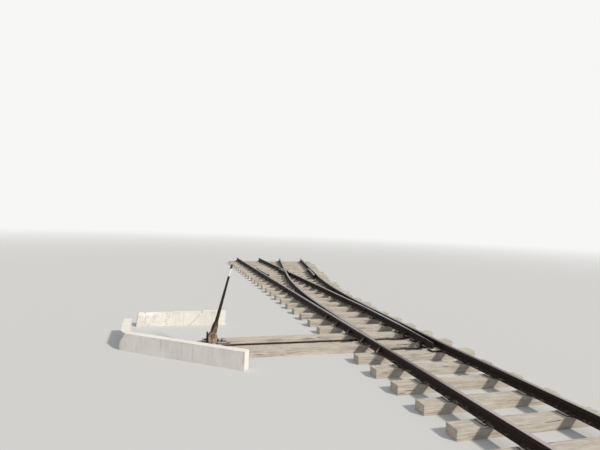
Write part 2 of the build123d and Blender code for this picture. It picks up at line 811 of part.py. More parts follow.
def cheek(side):
    """A bearing plate beside the lever's boss, its top corners cut back over the pivot."""
    foot_z = timber_top + stand_thickness
    w, top = cheek_width / 2, cheek_top_width / 2
    rise = lever_pivot_z - foot_z
    crown = rise + cheek_crown
    outline = make_face(Polyline((-w, 0), (w, 0), (w, rise), (top, crown), (-top, crown), (-w, rise), close=True))
    outline -= Pos(0, rise) * Circle(pivot_pin_radius + pivot_clearance)
    plate = extrude(Plane.XZ * outline, amount=cheek_thickness / 2, dir=(0, 1, 0), both=True)
    return Pos(lever_x, rod_y + side * (cheek_gap + cheek_thickness) / 2, foot_z) * plate


def stop_blocks():
    """A tall post and a low block between the cheeks, one on each side of the crank arm."""
    z0 = timber_top + stand_thickness
    half = cheek_gap / 2 - seat_gap
    blocks = []
    for side, height in ((-1, stop_post_height), (1, stop_block_height)):
        x0, x1 = sorted((side * stop_inner_x, side * (stop_inner_x + stop_width)))
        blocks.append(box(lever_x + x0, lever_x + x1, rod_y - half, rod_y + half, z0, z0 + height))
    return Compound(children=blocks)


def rod_guard():
    """A hollow cover over the rod: a low base beside the stop, a hood open towards the lever and a sloping end."""
    t = guard_thickness
    shoulder = guard_hood_start + guard_hood_length
    toe = shoulder + guard_slope
    edge, low, high = stand_width / 2 + seat_gap, guard_base_height, guard_hood_height
    side = make_face(Polyline(
        (guard_start, stand_thickness), (guard_start, low), (guard_hood_start, low), (guard_hood_start, high),
        (shoulder, high), (toe, t), (toe + guard_foot, t), (toe + guard_foot, 0), (edge, 0), (edge, stand_thickness),
        close=True))
    hood = extrude(Plane.XZ * side, amount=guard_width / 2, dir=(0, 1, 0), both=True)
    wide, half = guard_width / 2, guard_hood_width / 2
    for flank in (1, -1):
        y0, y1 = sorted((flank * half, flank * (wide + 1)))
        hood -= box(guard_start, toe, y0, y1, low, high + 1)
    hood -= box(guard_start - 1, shoulder - t, t - wide, wide - t, -1, low - t)
    hood -= box(guard_hood_start - 1, shoulder - t, t - half, half - t, low - t - 1, high - t)
    room = cheek_gap / 2
    hood -= box(guard_start - 1, stop_inner_x + stop_width + seat_gap, -room, room, 0, high)
    return Pos(lever_x, rod_y, timber_top) * hood


def kerb_line(points):
    """Walls on a run of outer plan points given from the lever, mitred where they meet."""
    outer = [Vector(lever_x + x, rod_y + y) for x, y in points]
    ways = [(b - a).normalized() for a, b in zip(outer, outer[1:])]
    sides = [Vector(w.Y, -w.X) for w in ways]
    inner = [outer[0] + sides[0] * kerb_thickness]
    for corner, a, b in zip(outer[1:], sides, sides[1:]):
        bisector = (a + b).normalized()
        inner.append(corner + bisector * (kerb_thickness / bisector.dot(a)))
    inner.append(outer[-1] + sides[-1] * kerb_thickness)
    walls = []
    for k in range(len(ways)):
        face = make_face(Polyline([tuple(p) for p in (outer[k], outer[k + 1], inner[k + 1], inner[k])], close=True))
        walls.append(extrude(face, amount=kerb_height, dir=(0, 0, 1)))
    return walls


def build_all():
    left_plates = Compound(children=[on_left(p) for p in slide_plates()])
    right_plates = Compound(children=[on_right(p) for p in slide_plates()])
    kerb_front, kerb_end = kerb_line((kerb_front_right, kerb_front_left, kerb_end_back))
    kerb_back, = kerb_line((kerb_back_left, kerb_back_right))
    return {
        "stock_rail_left": stock_rail_left(),
        "outer_rail_left": outer_rail_left(),
        "stock_rail_right": stock_rail_right(),
        "outer_rail_right": outer_rail_right(),
        "closure_rail_curved": closure_rail_curved(),
        "closure_rail_straight": closure_rail_straight(),
        "switch_blade_left": switch_blade_left(),
        "switch_blade_right": switch_blade_right(),
        "wing_rail_left": wing_rail_left(),
        "wing_rail_right": wing_rail_right(),
        "crossing_nose": crossing_nose(),
        "nose_blocks": nose_blocks(),
        "heel_rail_main": heel_rail_main(),
        "heel_rail_branch": heel_rail_branch(),
        "check_rail_left": check_rail_left(),
        "check_rail_right": check_rail_right(),
        "check_rail_blocks": check_rail_blocks(),
        "heel_blocks": heel_blocks(),
        "heel_chair_left": on_left(heel_chair()),
        "heel_chair_right": on_right(heel_chair()),
        "slide_plates_left": left_plates,
        "slide_plates_right": right_plates,
        "tie_plates_near": tie_plates(range(first_timber, 0)),
        "tie_plates_closure": tie_plates(range(switch_bays + 1, crossing_timber)),
        "tie_plates_crossing": tie_plates(range(crossing_timber, last_timber + 1)),
        "outer_fishplates": outer_fishplates(),
        "crossing_fishplates": crossing_fishplates(),
        "timbers_near": timbers(range(first_timber, 1)),
        "headblock_near": timber(headblocks[0]),
        "headblock_far": timber(headblocks[1]),
        "timbers_switch": timbers(range(headblocks[-1] + 1, switch_bays + 1)),
        "timbers_closure": timbers(range(switch_bays + 1, crossing_timber)),
        "timbers_crossing": timbers(range(crossing_timber, last_timber + 1)),
        "front_stretcher": front_stretcher(),
        "rear_stretcher": rear_stretcher(),
        "throw_rod": throw_rod(),
        "crank_pin": crank_pin(),
        "lever_forging": lever_forging(),
        "lever_bar": lever_bar(),
        "lever_tip": lever_tip(),
        "pivot_pin": pivot_pin(),
        "stand_plate": stand_plate(),
        "bearing_cheek_near": cheek(-1),
        "bearing_cheek_far": cheek(1),
        "stop_blocks": stop_blocks(),
        "rod_guard": rod_guard(),
        "kerb_front": kerb_front,
        "kerb_end": kerb_end,
        "kerb_back": kerb_back,
    }


def main():
    os.makedirs("parts", exist_ok=True)
    for name, shape in build_all().items():
        export_step(shape, "parts/" + name + ".step")
    print("curve radius", round(curve_radius), "crossing at", round(crossing_y))


if __name__ == "__main__":
    main()
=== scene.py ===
import json
import math
import random
from contextlib import contextmanager

import bpy
from mathutils import Matrix, Vector

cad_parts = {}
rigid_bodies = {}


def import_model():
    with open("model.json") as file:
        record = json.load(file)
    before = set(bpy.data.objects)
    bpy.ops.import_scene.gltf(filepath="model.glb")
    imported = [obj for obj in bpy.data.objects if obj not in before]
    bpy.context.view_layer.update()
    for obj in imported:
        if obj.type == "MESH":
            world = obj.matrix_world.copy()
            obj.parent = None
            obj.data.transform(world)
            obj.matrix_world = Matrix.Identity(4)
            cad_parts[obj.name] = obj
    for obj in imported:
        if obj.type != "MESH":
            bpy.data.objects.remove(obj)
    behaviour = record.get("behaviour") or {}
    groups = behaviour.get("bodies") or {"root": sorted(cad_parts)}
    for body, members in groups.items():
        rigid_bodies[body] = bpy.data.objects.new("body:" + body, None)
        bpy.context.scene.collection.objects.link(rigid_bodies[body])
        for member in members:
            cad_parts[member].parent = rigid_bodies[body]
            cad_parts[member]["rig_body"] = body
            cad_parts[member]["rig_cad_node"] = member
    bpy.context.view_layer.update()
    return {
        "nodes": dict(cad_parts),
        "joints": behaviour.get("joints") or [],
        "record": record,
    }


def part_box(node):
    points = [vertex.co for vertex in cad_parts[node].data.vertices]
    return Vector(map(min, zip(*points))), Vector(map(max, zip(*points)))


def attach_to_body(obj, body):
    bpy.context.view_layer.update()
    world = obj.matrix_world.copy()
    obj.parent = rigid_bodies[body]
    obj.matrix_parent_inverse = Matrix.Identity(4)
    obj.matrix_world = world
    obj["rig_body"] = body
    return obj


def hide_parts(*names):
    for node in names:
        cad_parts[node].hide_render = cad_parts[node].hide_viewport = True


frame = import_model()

# Metre-gauge turnout with a hand lever in a concrete kerb. Metres, +Y along the straight track.


# Modelling helpers


def deselectAll():
    bpy.ops.object.select_all(action="DESELECT")


def activate(obj):
    deselectAll()
    obj.select_set(True)
    bpy.context.view_layer.objects.active = obj


def applyPlace():
    bpy.ops.object.transform_apply(location=True, rotation=True, scale=True)


def lastMade(name):
    obj = bpy.context.object
    obj.name = name
    return obj


def addCube(name, low, high):
    deselectAll()
    bpy.ops.mesh.primitive_cube_add(size=1, location=[(a + b) / 2 for a, b in zip(low, high)])
    obj = lastMade(name)
    obj.scale = [b - a for a, b in zip(low, high)]
    applyPlace()
    return obj


def addCylinder(name, radius, depth, centre, axis="Z", vertices=16):
    deselectAll()
    turns = {"Z": (0, 0, 0), "X": (0, math.pi / 2, 0), "Y": (math.pi / 2, 0, 0)}
    bpy.ops.mesh.primitive_cylinder_add(
        radius=radius, depth=depth, location=centre, rotation=turns[axis], vertices=vertices)
    obj = lastMade(name)
    applyPlace()
    return obj


def facesUp(face):
    return face.normal.z > 0.9


# Edit mode, with the vertices, edges or faces selected that pass the test, or all of them.
@contextmanager
def editing(obj, kind, test=None):
    activate(obj)
    bpy.ops.object.mode_set(mode="EDIT")
    bpy.ops.mesh.select_mode(type=kind)
    bpy.ops.mesh.select_all(action="DESELECT")
    bpy.ops.object.mode_set(mode="OBJECT")
    mesh = obj.data
    for part in {"VERT": mesh.vertices, "EDGE": mesh.edges, "FACE": mesh.polygons}[kind]:
        part.select = test is None or test(part)
    bpy.ops.object.mode_set(mode="EDIT")
    yield
    bpy.ops.object.mode_set(mode="OBJECT")


def extrude(*move):
    bpy.ops.mesh.extrude_region_move(TRANSFORM_OT_translate={"value": move})


xWay, yWay, zWay = Matrix.Identity(3)


# Divide the edges that run mostly one way.
def cutAlong(obj, way, cuts, closeness=0.7):
    def runsAlong(edge):
        a, b = (obj.data.vertices[i].co for i in edge.vertices)
        return abs((b - a).normalized().dot(way)) > closeness

    with editing(obj, "EDGE", runsAlong):
        bpy.ops.mesh.subdivide(number_cuts=cuts)


# Bevel the edges whose faces meet at more than the limit.
def bevelSharp(obj, width, segments, limit=40):
    with editing(obj, "EDGE", lambda edge: False):
        bpy.ops.mesh.edges_select_sharp(sharpness=math.radians(limit))
        bpy.ops.mesh.bevel(offset=width, segments=segments, affect="EDGES", clamp_overlap=True)


# Shift vertices at random, so that nothing is dead straight.
def roughen(obj, amount, seed, test=None):
    with editing(obj, "VERT", test):
        bpy.ops.transform.vertex_random(offset=amount, seed=seed)


# Set what lies lower than the reach flat on the ground.
def flattenFoot(obj, reach):
    with editing(obj, "VERT", lambda v: v.co.z < reach):
        bpy.ops.transform.resize(value=(1, 1, 0), center_override=(0, 0, 0))


def moveVertices(obj, move, test):
    with editing(obj, "VERT", test):
        bpy.ops.transform.translate(value=move)


def smoothByAngle(obj, degrees):
    activate(obj)
    bpy.ops.object.shade_smooth_by_angle(angle=math.radians(degrees))


def copyTo(source, matrix, name):
    new = source.copy()
    new.data = source.data.copy()
    new.name = name
    new.matrix_world = matrix
    bpy.context.scene.collection.objects.link(new)
    return new


def joinAll(objs, name):
    activate(objs[0])
    for obj in objs:
        obj.select_set(True)
    bpy.ops.object.join()
    obj = lastMade(name)
    applyPlace()
    return obj


# Tie a finished piece to its body and hide the CAD nodes that it stands for.
def attach(obj, body, slot, *nodes):
    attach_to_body(obj, body)
    if nodes:
        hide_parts(*nodes)


def give(obj, material, body, slot, *nodes):
    obj.data.materials.clear()
    obj.data.materials.append(material)
    attach(obj, body, slot, *nodes)


# Node helpers


# Link an output to a socket, or set the socket's own value.
def feed(tree, socket, value):
    if isinstance(value, bpy.types.NodeSocket):
        tree.links.new(value, socket)
    elif socket.type == "RGBA":
        socket.default_value = (*value, 1)
    else:
        socket.default_value = value


def addNode(tree, kind, inputs=None, **settings):
    node = tree.nodes.new(kind)
    for key, value in settings.items():
        setattr(node, key, value)
    for key, value in (inputs or {}).items():
        feed(tree, node.inputs[key], value)
    return node


def noiseAt(tree, vector, scale, detail=6.0, roughness=0.6, distortion=0.0):
    values = {"Vector": vector, "Scale": scale, "Detail": detail, "Roughness": roughness,
              "Distortion": distortion}
    return addNode(tree, "ShaderNodeTexNoise", values).outputs["Fac"]


def stretched(tree, vector, scale):
    return addNode(tree, "ShaderNodeMapping", {"Vector": vector, "Scale": scale}).outputs["Vector"]


def ramp(tree, value, stops):
    node = addNode(tree, "ShaderNodeValToRGB", {"Fac": value})
    elements = node.color_ramp.elements
    while len(elements) < len(stops):
        elements.new(0.5)
    for element, (position, colour) in zip(elements, stops):
        element.position = position
        element.color = (*colour, 1)
    return node.outputs["Color"]


# From atLow to atHigh while the value goes from low to high.
def graded(tree, value, low, high, atLow, atHigh, way="LINEAR"):
    values = {"Value": value, "From Min": low, "From Max": high, "To Min": atLow, "To Max": atHigh}
    return addNode(tree, "ShaderNodeMapRange", values, interpolation_type=way).outputs["Result"]


# 0 below low, 1 above high, smooth between.
def mask(tree, value, low, high):
    return graded(tree, value, low, high, 0.0, 1.0, "SMOOTHSTEP")


def maths(tree, operation, a, b=0.0):
    return addNode(tree, "ShaderNodeMath", {0: a, 1: b}, operation=operation).outputs[0]


def plus(tree, a, b):
    return maths(tree, "ADD", a, b)


def minus(tree, a, b):
    return maths(tree, "SUBTRACT", a, b)


def times(tree, a, b):
    return maths(tree, "MULTIPLY", a, b)


def mixed(tree, factor, a, b, blend="MIX"):
    inputs = {0: factor, 6: a, 7: b}
    return addNode(tree, "ShaderNodeMix", inputs, data_type="RGBA", blend_type=blend).outputs[2]


# Lay a tone over a colour, up to a share of it where the mask is 1.
def lay(tree, colour, where, share, tone):
    return mixed(tree, times(tree, where, share), colour, tone)


def tinted(tree, colour, tint):
    return mixed(tree, 1.0, colour, tint, "MULTIPLY")


def axisOf(tree, vector, axis):
    return addNode(tree, "ShaderNodeSeparateXYZ", {0: vector}).outputs[axis]


# 1 where a surface faces up, 0 on an upright side.
def upward(tree):
    return axisOf(tree, addNode(tree, "ShaderNodeNewGeometry").outputs["Normal"], "Z")


def awayFrom(tree, vector, spot):
    return addNode(tree, "ShaderNodeVectorMath", {0: vector, 1: spot}, operation="DISTANCE").outputs["Value"]


# A group that takes a vector and some values; its outputs are values, apart from Color.
def newGroup(name, values, outputs):
    group = bpy.data.node_groups.new(name, "ShaderNodeTree")
    group.interface.new_socket("Vector", in_out="INPUT", socket_type="NodeSocketVector")
    for socket, value in values.items():
        made = group.interface.new_socket(socket, in_out="INPUT", socket_type="NodeSocketFloat")
        made.default_value = value
    for socket in outputs:
        kind = "NodeSocketColor" if socket == "Color" else "NodeSocketFloat"
        group.interface.new_socket(socket, in_out="OUTPUT", socket_type=kind)
    return group, group.nodes.new("NodeGroupInput").outputs, group.nodes.new("NodeGroupOutput").inputs


def useGroup(tree, group, inputs):
    return addNode(tree, "ShaderNodeGroup", inputs, node_tree=group).outputs


def newMaterial(name, roughness, specular):
    material = bpy.data.materials.new(name)
    material.use_nodes = True
    tree = material.node_tree
    shader = tree.nodes["Principled BSDF"]
    shader.inputs["Roughness"].default_value = roughness
    shader.inputs["Specular IOR Level"].default_value = specular
    return material, tree, shader, addNode(tree, "ShaderNodeTexCoord").outputs["Object"]


def finishSurface(tree, shader, colour, height, strength, distance=0.002):
    bump = addNode(tree, "ShaderNodeBump", {"Height": height, "Strength": strength, "Distance": distance})
    feed(tree, shader.inputs["Base Color"], colour)
    feed(tree, shader.inputs["Normal"], bump.outputs["Normal"])


# Shared effects


# Old rust: dark brown skin, orange patches, pitting.
def makeRustGroup():
    group, start, end = newGroup("oldRust", {"Orange": 0.3}, ("Color", "Height"))
    broad = noiseAt(group, start["Vector"], 5.0, 8.0, 0.65, 0.4)
    fine = noiseAt(group, start["Vector"], 70.0, 6.0, 0.7)
    flakes = noiseAt(group, start["Vector"], 24.0, 10.0, 0.75, 0.6)
    dark = ramp(group, flakes, [
        (0.30, (0.016, 0.010, 0.008)), (0.52, (0.045, 0.025, 0.017)), (0.72, (0.090, 0.045, 0.027))])
    orange = ramp(group, fine, [(0.3, (0.14, 0.052, 0.020)), (0.7, (0.30, 0.120, 0.045))])
    level = minus(group, 0.85, times(group, start["Orange"], 0.5))
    spread = plus(group, times(group, broad, 0.75), times(group, flakes, 0.35))
    patch = mask(group, minus(group, spread, level), -0.13, 0.07)
    feed(group, end["Color"], mixed(group, patch, dark, orange))
    feed(group, end["Height"], plus(group, flakes, times(group, fine, 0.4)))
    return group


# 1 on worn edges and corners, broken up by noise.
def makeWearGroup():
    group, start, end = newGroup("edgeWear", {"Radius": 0.004, "From": 0.08, "To": 0.22}, ("Mask",))
    rounded = addNode(group, "ShaderNodeBevel", {"Radius": start["Radius"]}, samples=4).outputs["Normal"]
    plain = addNode(group, "ShaderNodeNewGeometry").outputs["Normal"]
    same = addNode(group, "ShaderNodeVectorMath", {0: rounded, 1: plain}, operation="DOT_PRODUCT")
    turned = minus(group, 1.0, same.outputs["Value"])
    broken = times(group, noiseAt(group, start["Vector"], 40.0, 5.0), 0.12)
    feed(group, end["Mask"], mask(group, plus(group, turned, broken), start["From"], start["To"]))
    return group


# How much pale dust lies on a surface: most on what faces up and lies low.
def makeDustGroup():
    group, start, end = newGroup("paleDust", {"Amount": 0.5, "Low": 0.12, "High": 0.30}, ("Color", "Mask"))
    spots = noiseAt(group, start["Vector"], 9.0, 9.0, 0.7)
    fine = noiseAt(group, start["Vector"], 110.0, 4.0, 0.6)
    facing = mask(group, upward(group), 0.15, 0.95)
    low = graded(group, axisOf(group, start["Vector"], "Z"), start["Low"], start["High"], 1.0, 0.12)
    amount = times(group, times(group, facing, low), start["Amount"])
    patch = plus(group, spots, times(group, fine, 0.25))
    tone = ramp(group, fine, [(0.25, (0.52, 0.455, 0.365)), (0.75, (0.68, 0.605, 0.50))])
    feed(group, end["Color"], tone)
    feed(group, end["Mask"], mask(group, plus(group, patch, amount), 0.92, 1.35))
    return group


rustGroup, wearGroup, dustGroup = makeRustGroup(), makeWearGroup(), makeDustGroup()


# Rust, wear and dust for one material.
def oldMetal(tree, coords, orange, wear, dust):
    rust = useGroup(tree, rustGroup, {"Vector": coords, "Orange": orange})
    edges = useGroup(tree, wearGroup, {"Vector": coords, **wear})["Mask"]
    cover = useGroup(tree, dustGroup, {"Vector": coords, **dust})
    return rust, edges, cover


# Materials


# Small rusty iron, paler on its worn edges.
def makeRustyMetal(name, orange, dust, wornColour, wear, tint=(1, 1, 1)):
    material, tree, shader, coords = newMaterial(name, 0.75, 0.35)
    rust, edges, cover = oldMetal(tree, coords, orange, {"Radius": 0.004}, {"Amount": dust})
    colour = tinted(tree, rust["Color"], tint)
    colour = lay(tree, colour, edges, wear, wornColour)
    colour = mixed(tree, cover["Mask"], colour, cover["Color"])
    finishSurface(tree, shader, colour, rust["Height"], 0.5)
    feed(tree, shader.inputs["Roughness"], minus(tree, 0.82, times(tree, edges, 0.3)))
    return material


joints = {j["name"]: j for j in frame["joints"]}
leverPivot = Vector(joints["lever_swing"]["pos_m"])
leverLean = math.radians(joints["lever_swing"]["range_deg"][1] / 2)
# The darkest tones here are laid as painted shade on the socket's left side and down the guard's sides.
standTones = {
    "cheek": (0.44, 0.345, 0.28), "socket": (0.30, 0.225, 0.18), "guard": (0.50, 0.462, 0.450),
    "orange": (0.30, 0.150, 0.060), "socketShade": (0.011, 0.009, 0.008), "guardDark": (0.075, 0.052, 0.042),
    "cheekSpot": (-3.028, 0.847, 0.232), "socketSpot": (-2.965, 0.847, 0.385), "guardDarkPast": 0.215}


# An orange patch round a spot, its rim broken by the blotches.
def orangePatch(tree, coords, colour, blotch, spot):
    away = plus(tree, awayFrom(tree, coords, spot), times(tree, blotch, 0.02))
    return lay(tree, colour, mask(tree, away, 0.062, 0.030), 0.8, standTones["orange"])


# The socket's left side is painted near-black: painted shade for the side turned away from the sun.
def shadeSocketSide(tree, coords, colour):
    slope = -math.tan(leverLean)
    height = axisOf(tree, coords, "Z")
    across = plus(tree, axisOf(tree, coords, "X"), times(tree, height, slope))
    middle = leverPivot.x + leverPivot.z * slope
    side = mask(tree, across, middle - 0.004, middle - 0.022)
    black = times(tree, side, mask(tree, height, leverPivot.z + 0.04, leverPivot.z + 0.09))
    return lay(tree, colour, black, 0.93, standTones["socketShade"])


# The guard is painted dark down its sides, as painted shade under its lit top, and dark all over past its
# far end.
def darkenGuard(tree, coords, colour):
    past = leverPivot.x + standTones["guardDarkPast"]
    sides = times(tree, mask(tree, upward(tree), 0.7, 0.3), 0.78)
    darkened = maths(tree, "MAXIMUM", sides, mask(tree, axisOf(tree, coords, "X"), past, past + 0.012))
    return lay(tree, colour, darkened, 0.85, standTones["guardDark"])


# Rust under a film of dried dust, thickest near the ground.
def makeStandIron(name, film, dust, spot=None, paintSocketShade=False, guardDark=False):
    material, tree, shader, coords = newMaterial(name, 0.8, 0.3)
    rust, edges, cover = oldMetal(tree, coords, 0.25, {"Radius": 0.006}, {"Amount": dust})
    blotch = mask(tree, noiseAt(tree, coords, 19.0, 9.0, 0.72, 0.6), 0.33, 0.60)
    low = graded(tree, axisOf(tree, coords, "Z"), 0.20, 0.48, 0.92, 0.22)
    colour = mixed(tree, times(tree, blotch, low), rust["Color"], film)
    if spot:
        colour = orangePatch(tree, coords, colour, blotch, spot)
    colour = lay(tree, colour, edges, 0.5, [c * 1.1 for c in film])
    colour = mixed(tree, cover["Mask"], colour, cover["Color"])
    # Painted shade down the socket's left side.
    if paintSocketShade:
        colour = shadeSocketSide(tree, coords, colour)
    # Painted shade down the guard's sides, and darker all over past its far end.
    if guardDark:
        colour = darkenGuard(tree, coords, colour)
    finishSurface(tree, shader, colour, rust["Height"], 0.55)
    return material


railTones = {
    "skinAndShade": (0.45, 0.43, 0.46), "edge": (0.56, 0.52, 0.49), "shoulder": (0.095, 0.080, 0.075),
    "dull": (0.180, 0.154, 0.142), "dusty": (0.52, 0.455, 0.405), "dullRun": (0.8, -0.6),
    "dustyRun": (-0.9, -2.6)}


# The worn running band on a rail's head, its pale tone partly a painted sun glint: bright past the toes,
# dull at them and dusty at the near ends.
def headBandAndGlint(tree, coords):
    tones = railTones
    streaks = noiseAt(tree, stretched(tree, coords, (40.0, 2.5, 40.0)), 1.6, 8.0, 0.7)
    run = axisOf(tree, coords, "Y")
    band = ramp(tree, streaks, [
        (0.30, (0.250, 0.230, 0.228)), (0.55, (0.440, 0.415, 0.415)), (0.75, (0.580, 0.555, 0.555))])
    band = lay(tree, band, mask(tree, run, *tones["dullRun"]), 0.85, tones["dull"])
    shoulder = useGroup(tree, wearGroup, {"Vector": coords, "Radius": 0.034, "From": 0.055, "To": 0.095})
    band = lay(tree, band, shoulder["Mask"], 0.9, tones["shoulder"])
    return lay(tree, band, mask(tree, run, *tones["dustyRun"]), 0.88, tones["dusty"])


def makeRailSteel():
    material, tree, shader, coords = newMaterial("railSteel", 0.6, 0.27)
    dust = {"Amount": 0.42, "Low": 0.13, "High": 0.20}
    rust, edges, cover = oldMetal(tree, coords, 0.12, {"Radius": 0.006}, dust)
    height = axisOf(tree, coords, "Z")
    onHead = times(tree, mask(tree, upward(tree), 0.55, 0.9), mask(tree, height, 0.235, 0.250))
    # The rust is tinted darker all over: partly the rail's own dark rust, partly painted shade for its
    # shaded sides.
    skinAndShade = tinted(tree, rust["Color"], railTones["skinAndShade"])
    # Lay the running band on the head; its pale tone is partly a painted glint.
    colour = lay(tree, skinAndShade, onHead, 0.85, headBandAndGlint(tree, coords))
    # A painted highlight: the rail's upper edges are laid paler, as if caught by the sun.
    high = times(tree, edges, mask(tree, height, 0.20, 0.245))
    colour = lay(tree, colour, high, 0.22, railTones["edge"])
    colour = mixed(tree, cover["Mask"], colour, cover["Color"])
    finishSurface(tree, shader, colour, rust["Height"], 0.35)
    feed(tree, shader.inputs["Roughness"], minus(tree, 0.78, times(tree, onHead, 0.33)))
    return material


gripBand = {"low": 0.962, "high": 1.084, "tint": (0.50, 0.46, 0.46), "tone": (0.80, 0.78, 0.74)}


# A dark bar with the pale worn band of an old grip below its tip.
def makeLeverIron():
    material, tree, shader, coords = newMaterial("leverIron", 0.6, 0.3)
    rust = useGroup(tree, rustGroup, {"Vector": coords, "Orange": 0.12})
    colour = tinted(tree, rust["Color"], gripBand["tint"])
    low, high = (leverPivot.z + gripBand[end] * math.cos(leverLean) for end in ("low", "high"))
    chips = noiseAt(tree, coords, 55.0, 6.0, 0.7)
    height = plus(tree, axisOf(tree, coords, "Z"), times(tree, chips, 0.03))
    above = mask(tree, height, low + 0.012, low + 0.018)
    below = mask(tree, height, high + 0.018, high + 0.012)
    band = times(tree, times(tree, above, below), mask(tree, chips, 0.66, 0.56))
    colour = mixed(tree, band, colour, gripBand["tone"])
    finishSurface(tree, shader, colour, rust["Height"], 0.45)
    return material


# Grey-brown weathered timber along X, with open grain, checks and dust.
def makeTimberWood():
    material, tree, shader, coords = newMaterial("weatheredTimber", 0.9, 0.15)
    grain = noiseAt(tree, stretched(tree, coords, (0.9, 14.0, 14.0)), 3.2, 10.0, 0.7, 0.25)
    fibre = noiseAt(tree, stretched(tree, coords, (3.0, 60.0, 60.0)), 3.0, 6.0, 0.7)
    splits = noiseAt(tree, stretched(tree, coords, (1.1, 24.0, 24.0)), 2.1, 3.0, 0.5, 0.3)
    broad = noiseAt(tree, coords, 1.7, 5.0, 0.6)
    colour = ramp(tree, grain, [
        (0.28, (0.160, 0.128, 0.098)), (0.45, (0.378, 0.325, 0.265)),
        (0.60, (0.570, 0.518, 0.445)), (0.78, (0.715, 0.668, 0.592))])
    colour = lay(tree, colour, broad, 0.55, (0.56, 0.50, 0.422))
    checks = mask(tree, splits, 0.665, 0.70)
    colour = mixed(tree, checks, colour, (0.030, 0.022, 0.017))
    cover = useGroup(tree, dustGroup, {"Vector": coords, "Amount": 0.62, "Low": 0.0, "High": 0.5})
    colour = lay(tree, colour, cover["Mask"], 0.62, cover["Color"])
    height = minus(tree, plus(tree, grain, times(tree, fibre, 0.5)), times(tree, checks, 1.4))
    finishSurface(tree, shader, colour, height, 0.65, 0.004)
    return material


castTones = {
    "stain": (0.33, 0.305, 0.275), "cream": (0.82, 0.780, 0.720), "lichen": (0.30, 0.285, 0.245),
    "pit": (0.16, 0.14, 0.12), "warmth": (1.0, 0.97, 0.92), "lichenSpot": (-4.25, 2.85, 0.24)}


# Sun-bleached cream concrete, board marked, streaked down its sides and grown over at one corner.
def makeConcrete(name, tone):
    material, tree, shader, coords = newMaterial(name, 0.92, 0.2)
    broad = noiseAt(tree, coords, 2.2, 8.0, 0.65)
    grit = noiseAt(tree, coords, 85.0, 6.0, 0.7)
    streaks = noiseAt(tree, stretched(tree, coords, (26.0, 26.0, 1.6)), 1.1, 7.0, 0.65)
    colour = ramp(tree, broad, [
        (0.30, (0.68, 0.65, 0.62)), (0.50, (0.77, 0.745, 0.715)), (0.70, (0.84, 0.815, 0.785))])
    facing = upward(tree)
    side = mask(tree, maths(tree, "ABSOLUTE", facing), 0.75, 0.35)
    stain = times(tree, side, mask(tree, streaks, 0.50, 0.68))
    corner = mask(tree, awayFrom(tree, coords, castTones["lichenSpot"]), 0.95, 0.25)
    lichen = times(tree, corner, mask(tree, noiseAt(tree, coords, 13.0, 8.0, 0.7, 0.5), 0.50, 0.66))
    marks = (("stain", stain, 0.30), ("cream", mask(tree, facing, 0.5, 0.95), 0.55), ("lichen", lichen, 0.6),
             ("pit", mask(tree, grit, 0.36, 0.28), 0.6))
    for mark, where, share in marks:
        colour = lay(tree, colour, where, share, castTones[mark])
    colour = tinted(tree, colour, [tone * c for c in castTones["warmth"]])
    height = plus(tree, times(tree, streaks, 0.5), times(tree, grit, 0.6))
    finishSurface(tree, shader, colour, height, 0.5, 0.003)
    return material


railSteel = makeRailSteel()
plateSteel = makeRustyMetal("plateSteel", 0.22, 0.85, (0.16, 0.12, 0.10), 0.3)
boltSteel = makeRustyMetal("boltSteel", 0.32, 0.45, (0.20, 0.15, 0.12), 0.5)
forgedIron = makeRustyMetal("forgedIron", 0.15, 0.25, (0.17, 0.13, 0.11), 0.4, (0.75, 0.72, 0.72))
standIron = makeStandIron("standIron", standTones["cheek"], 0.9, standTones["cheekSpot"])
socketIron = makeStandIron("socketIron", standTones["socket"], 0.6, standTones["socketSpot"], paintSocketShade=True)
guardIron = makeStandIron("guardIron", standTones["guard"], 0.6, guardDark=True)
leverIron = makeLeverIron()
timberWood = makeTimberWood()
concrete = makeConcrete("boardMarkedConcrete", 1.0)
# A darker concrete for the crack's faces: painted shade for the inside of the deep crack.
crackShadeConcrete = makeConcrete("crackShadeConcrete", 0.42)
chippedConcrete = makeConcrete("chippedConcrete", 0.92)
print("materials made")

bySlot = {
    "rail_steel": railSteel, "plate_steel": plateSteel, "forged_iron": forgedIron,
    "timber": timberWood, "concrete": concrete}
slotOf = {s["node"]: s["material_slot"] for s in frame["record"]["subparts"]}
for node, obj in frame["nodes"].items():
    obj.data.materials.clear()
    obj.data.materials.append(bySlot[slotOf[node]])
print("CAD nodes painted")


# Track lines


track = {
    "gauge": 1.0, "head": 0.062, "web": 0.014, "base": 0.132, "boltHeight": 0.057, "bladeLength": 3.0,
    "toeOffset": 0.0065, "heelOffset": 0.118, "leadIn": 1.0, "crossingRatio": 5.0, "checkGap": 0.042,
    "checkHalf": 1.05}
halfGauge = track["gauge"] / 2
halfHead = track["head"] / 2
railCentre = halfGauge + halfHead
outerOffset = track["gauge"] + halfHead  # the branch's outer rail, from its left running edge
boltLevel = track["base"] + track["boltHeight"]
bladeAngle = math.atan((track["heelOffset"] - track["toeOffset"]) / track["bladeLength"])
crossingAngle = math.atan(1 / track["crossingRatio"])
bladeSin, bladeCos = math.sin(bladeAngle), math.cos(bladeAngle)
crossingSin, crossingCos = math.sin(crossingAngle), math.cos(crossingAngle)
curveRise = track["gauge"] - track["heelOffset"] - track["leadIn"] * crossingSin
curveRadius = curveRise / (bladeCos - crossingCos)
crossingY = track["bladeLength"] + curveRadius * (crossingSin - bladeSin) + track["leadIn"] * crossingCos
toeX = -halfGauge + track["toeOffset"]
curveX = toeX + track["bladeLength"] * math.tan(bladeAngle) + curveRadius * bladeCos
curveY = track["bladeLength"] - curveRadius * bladeSin


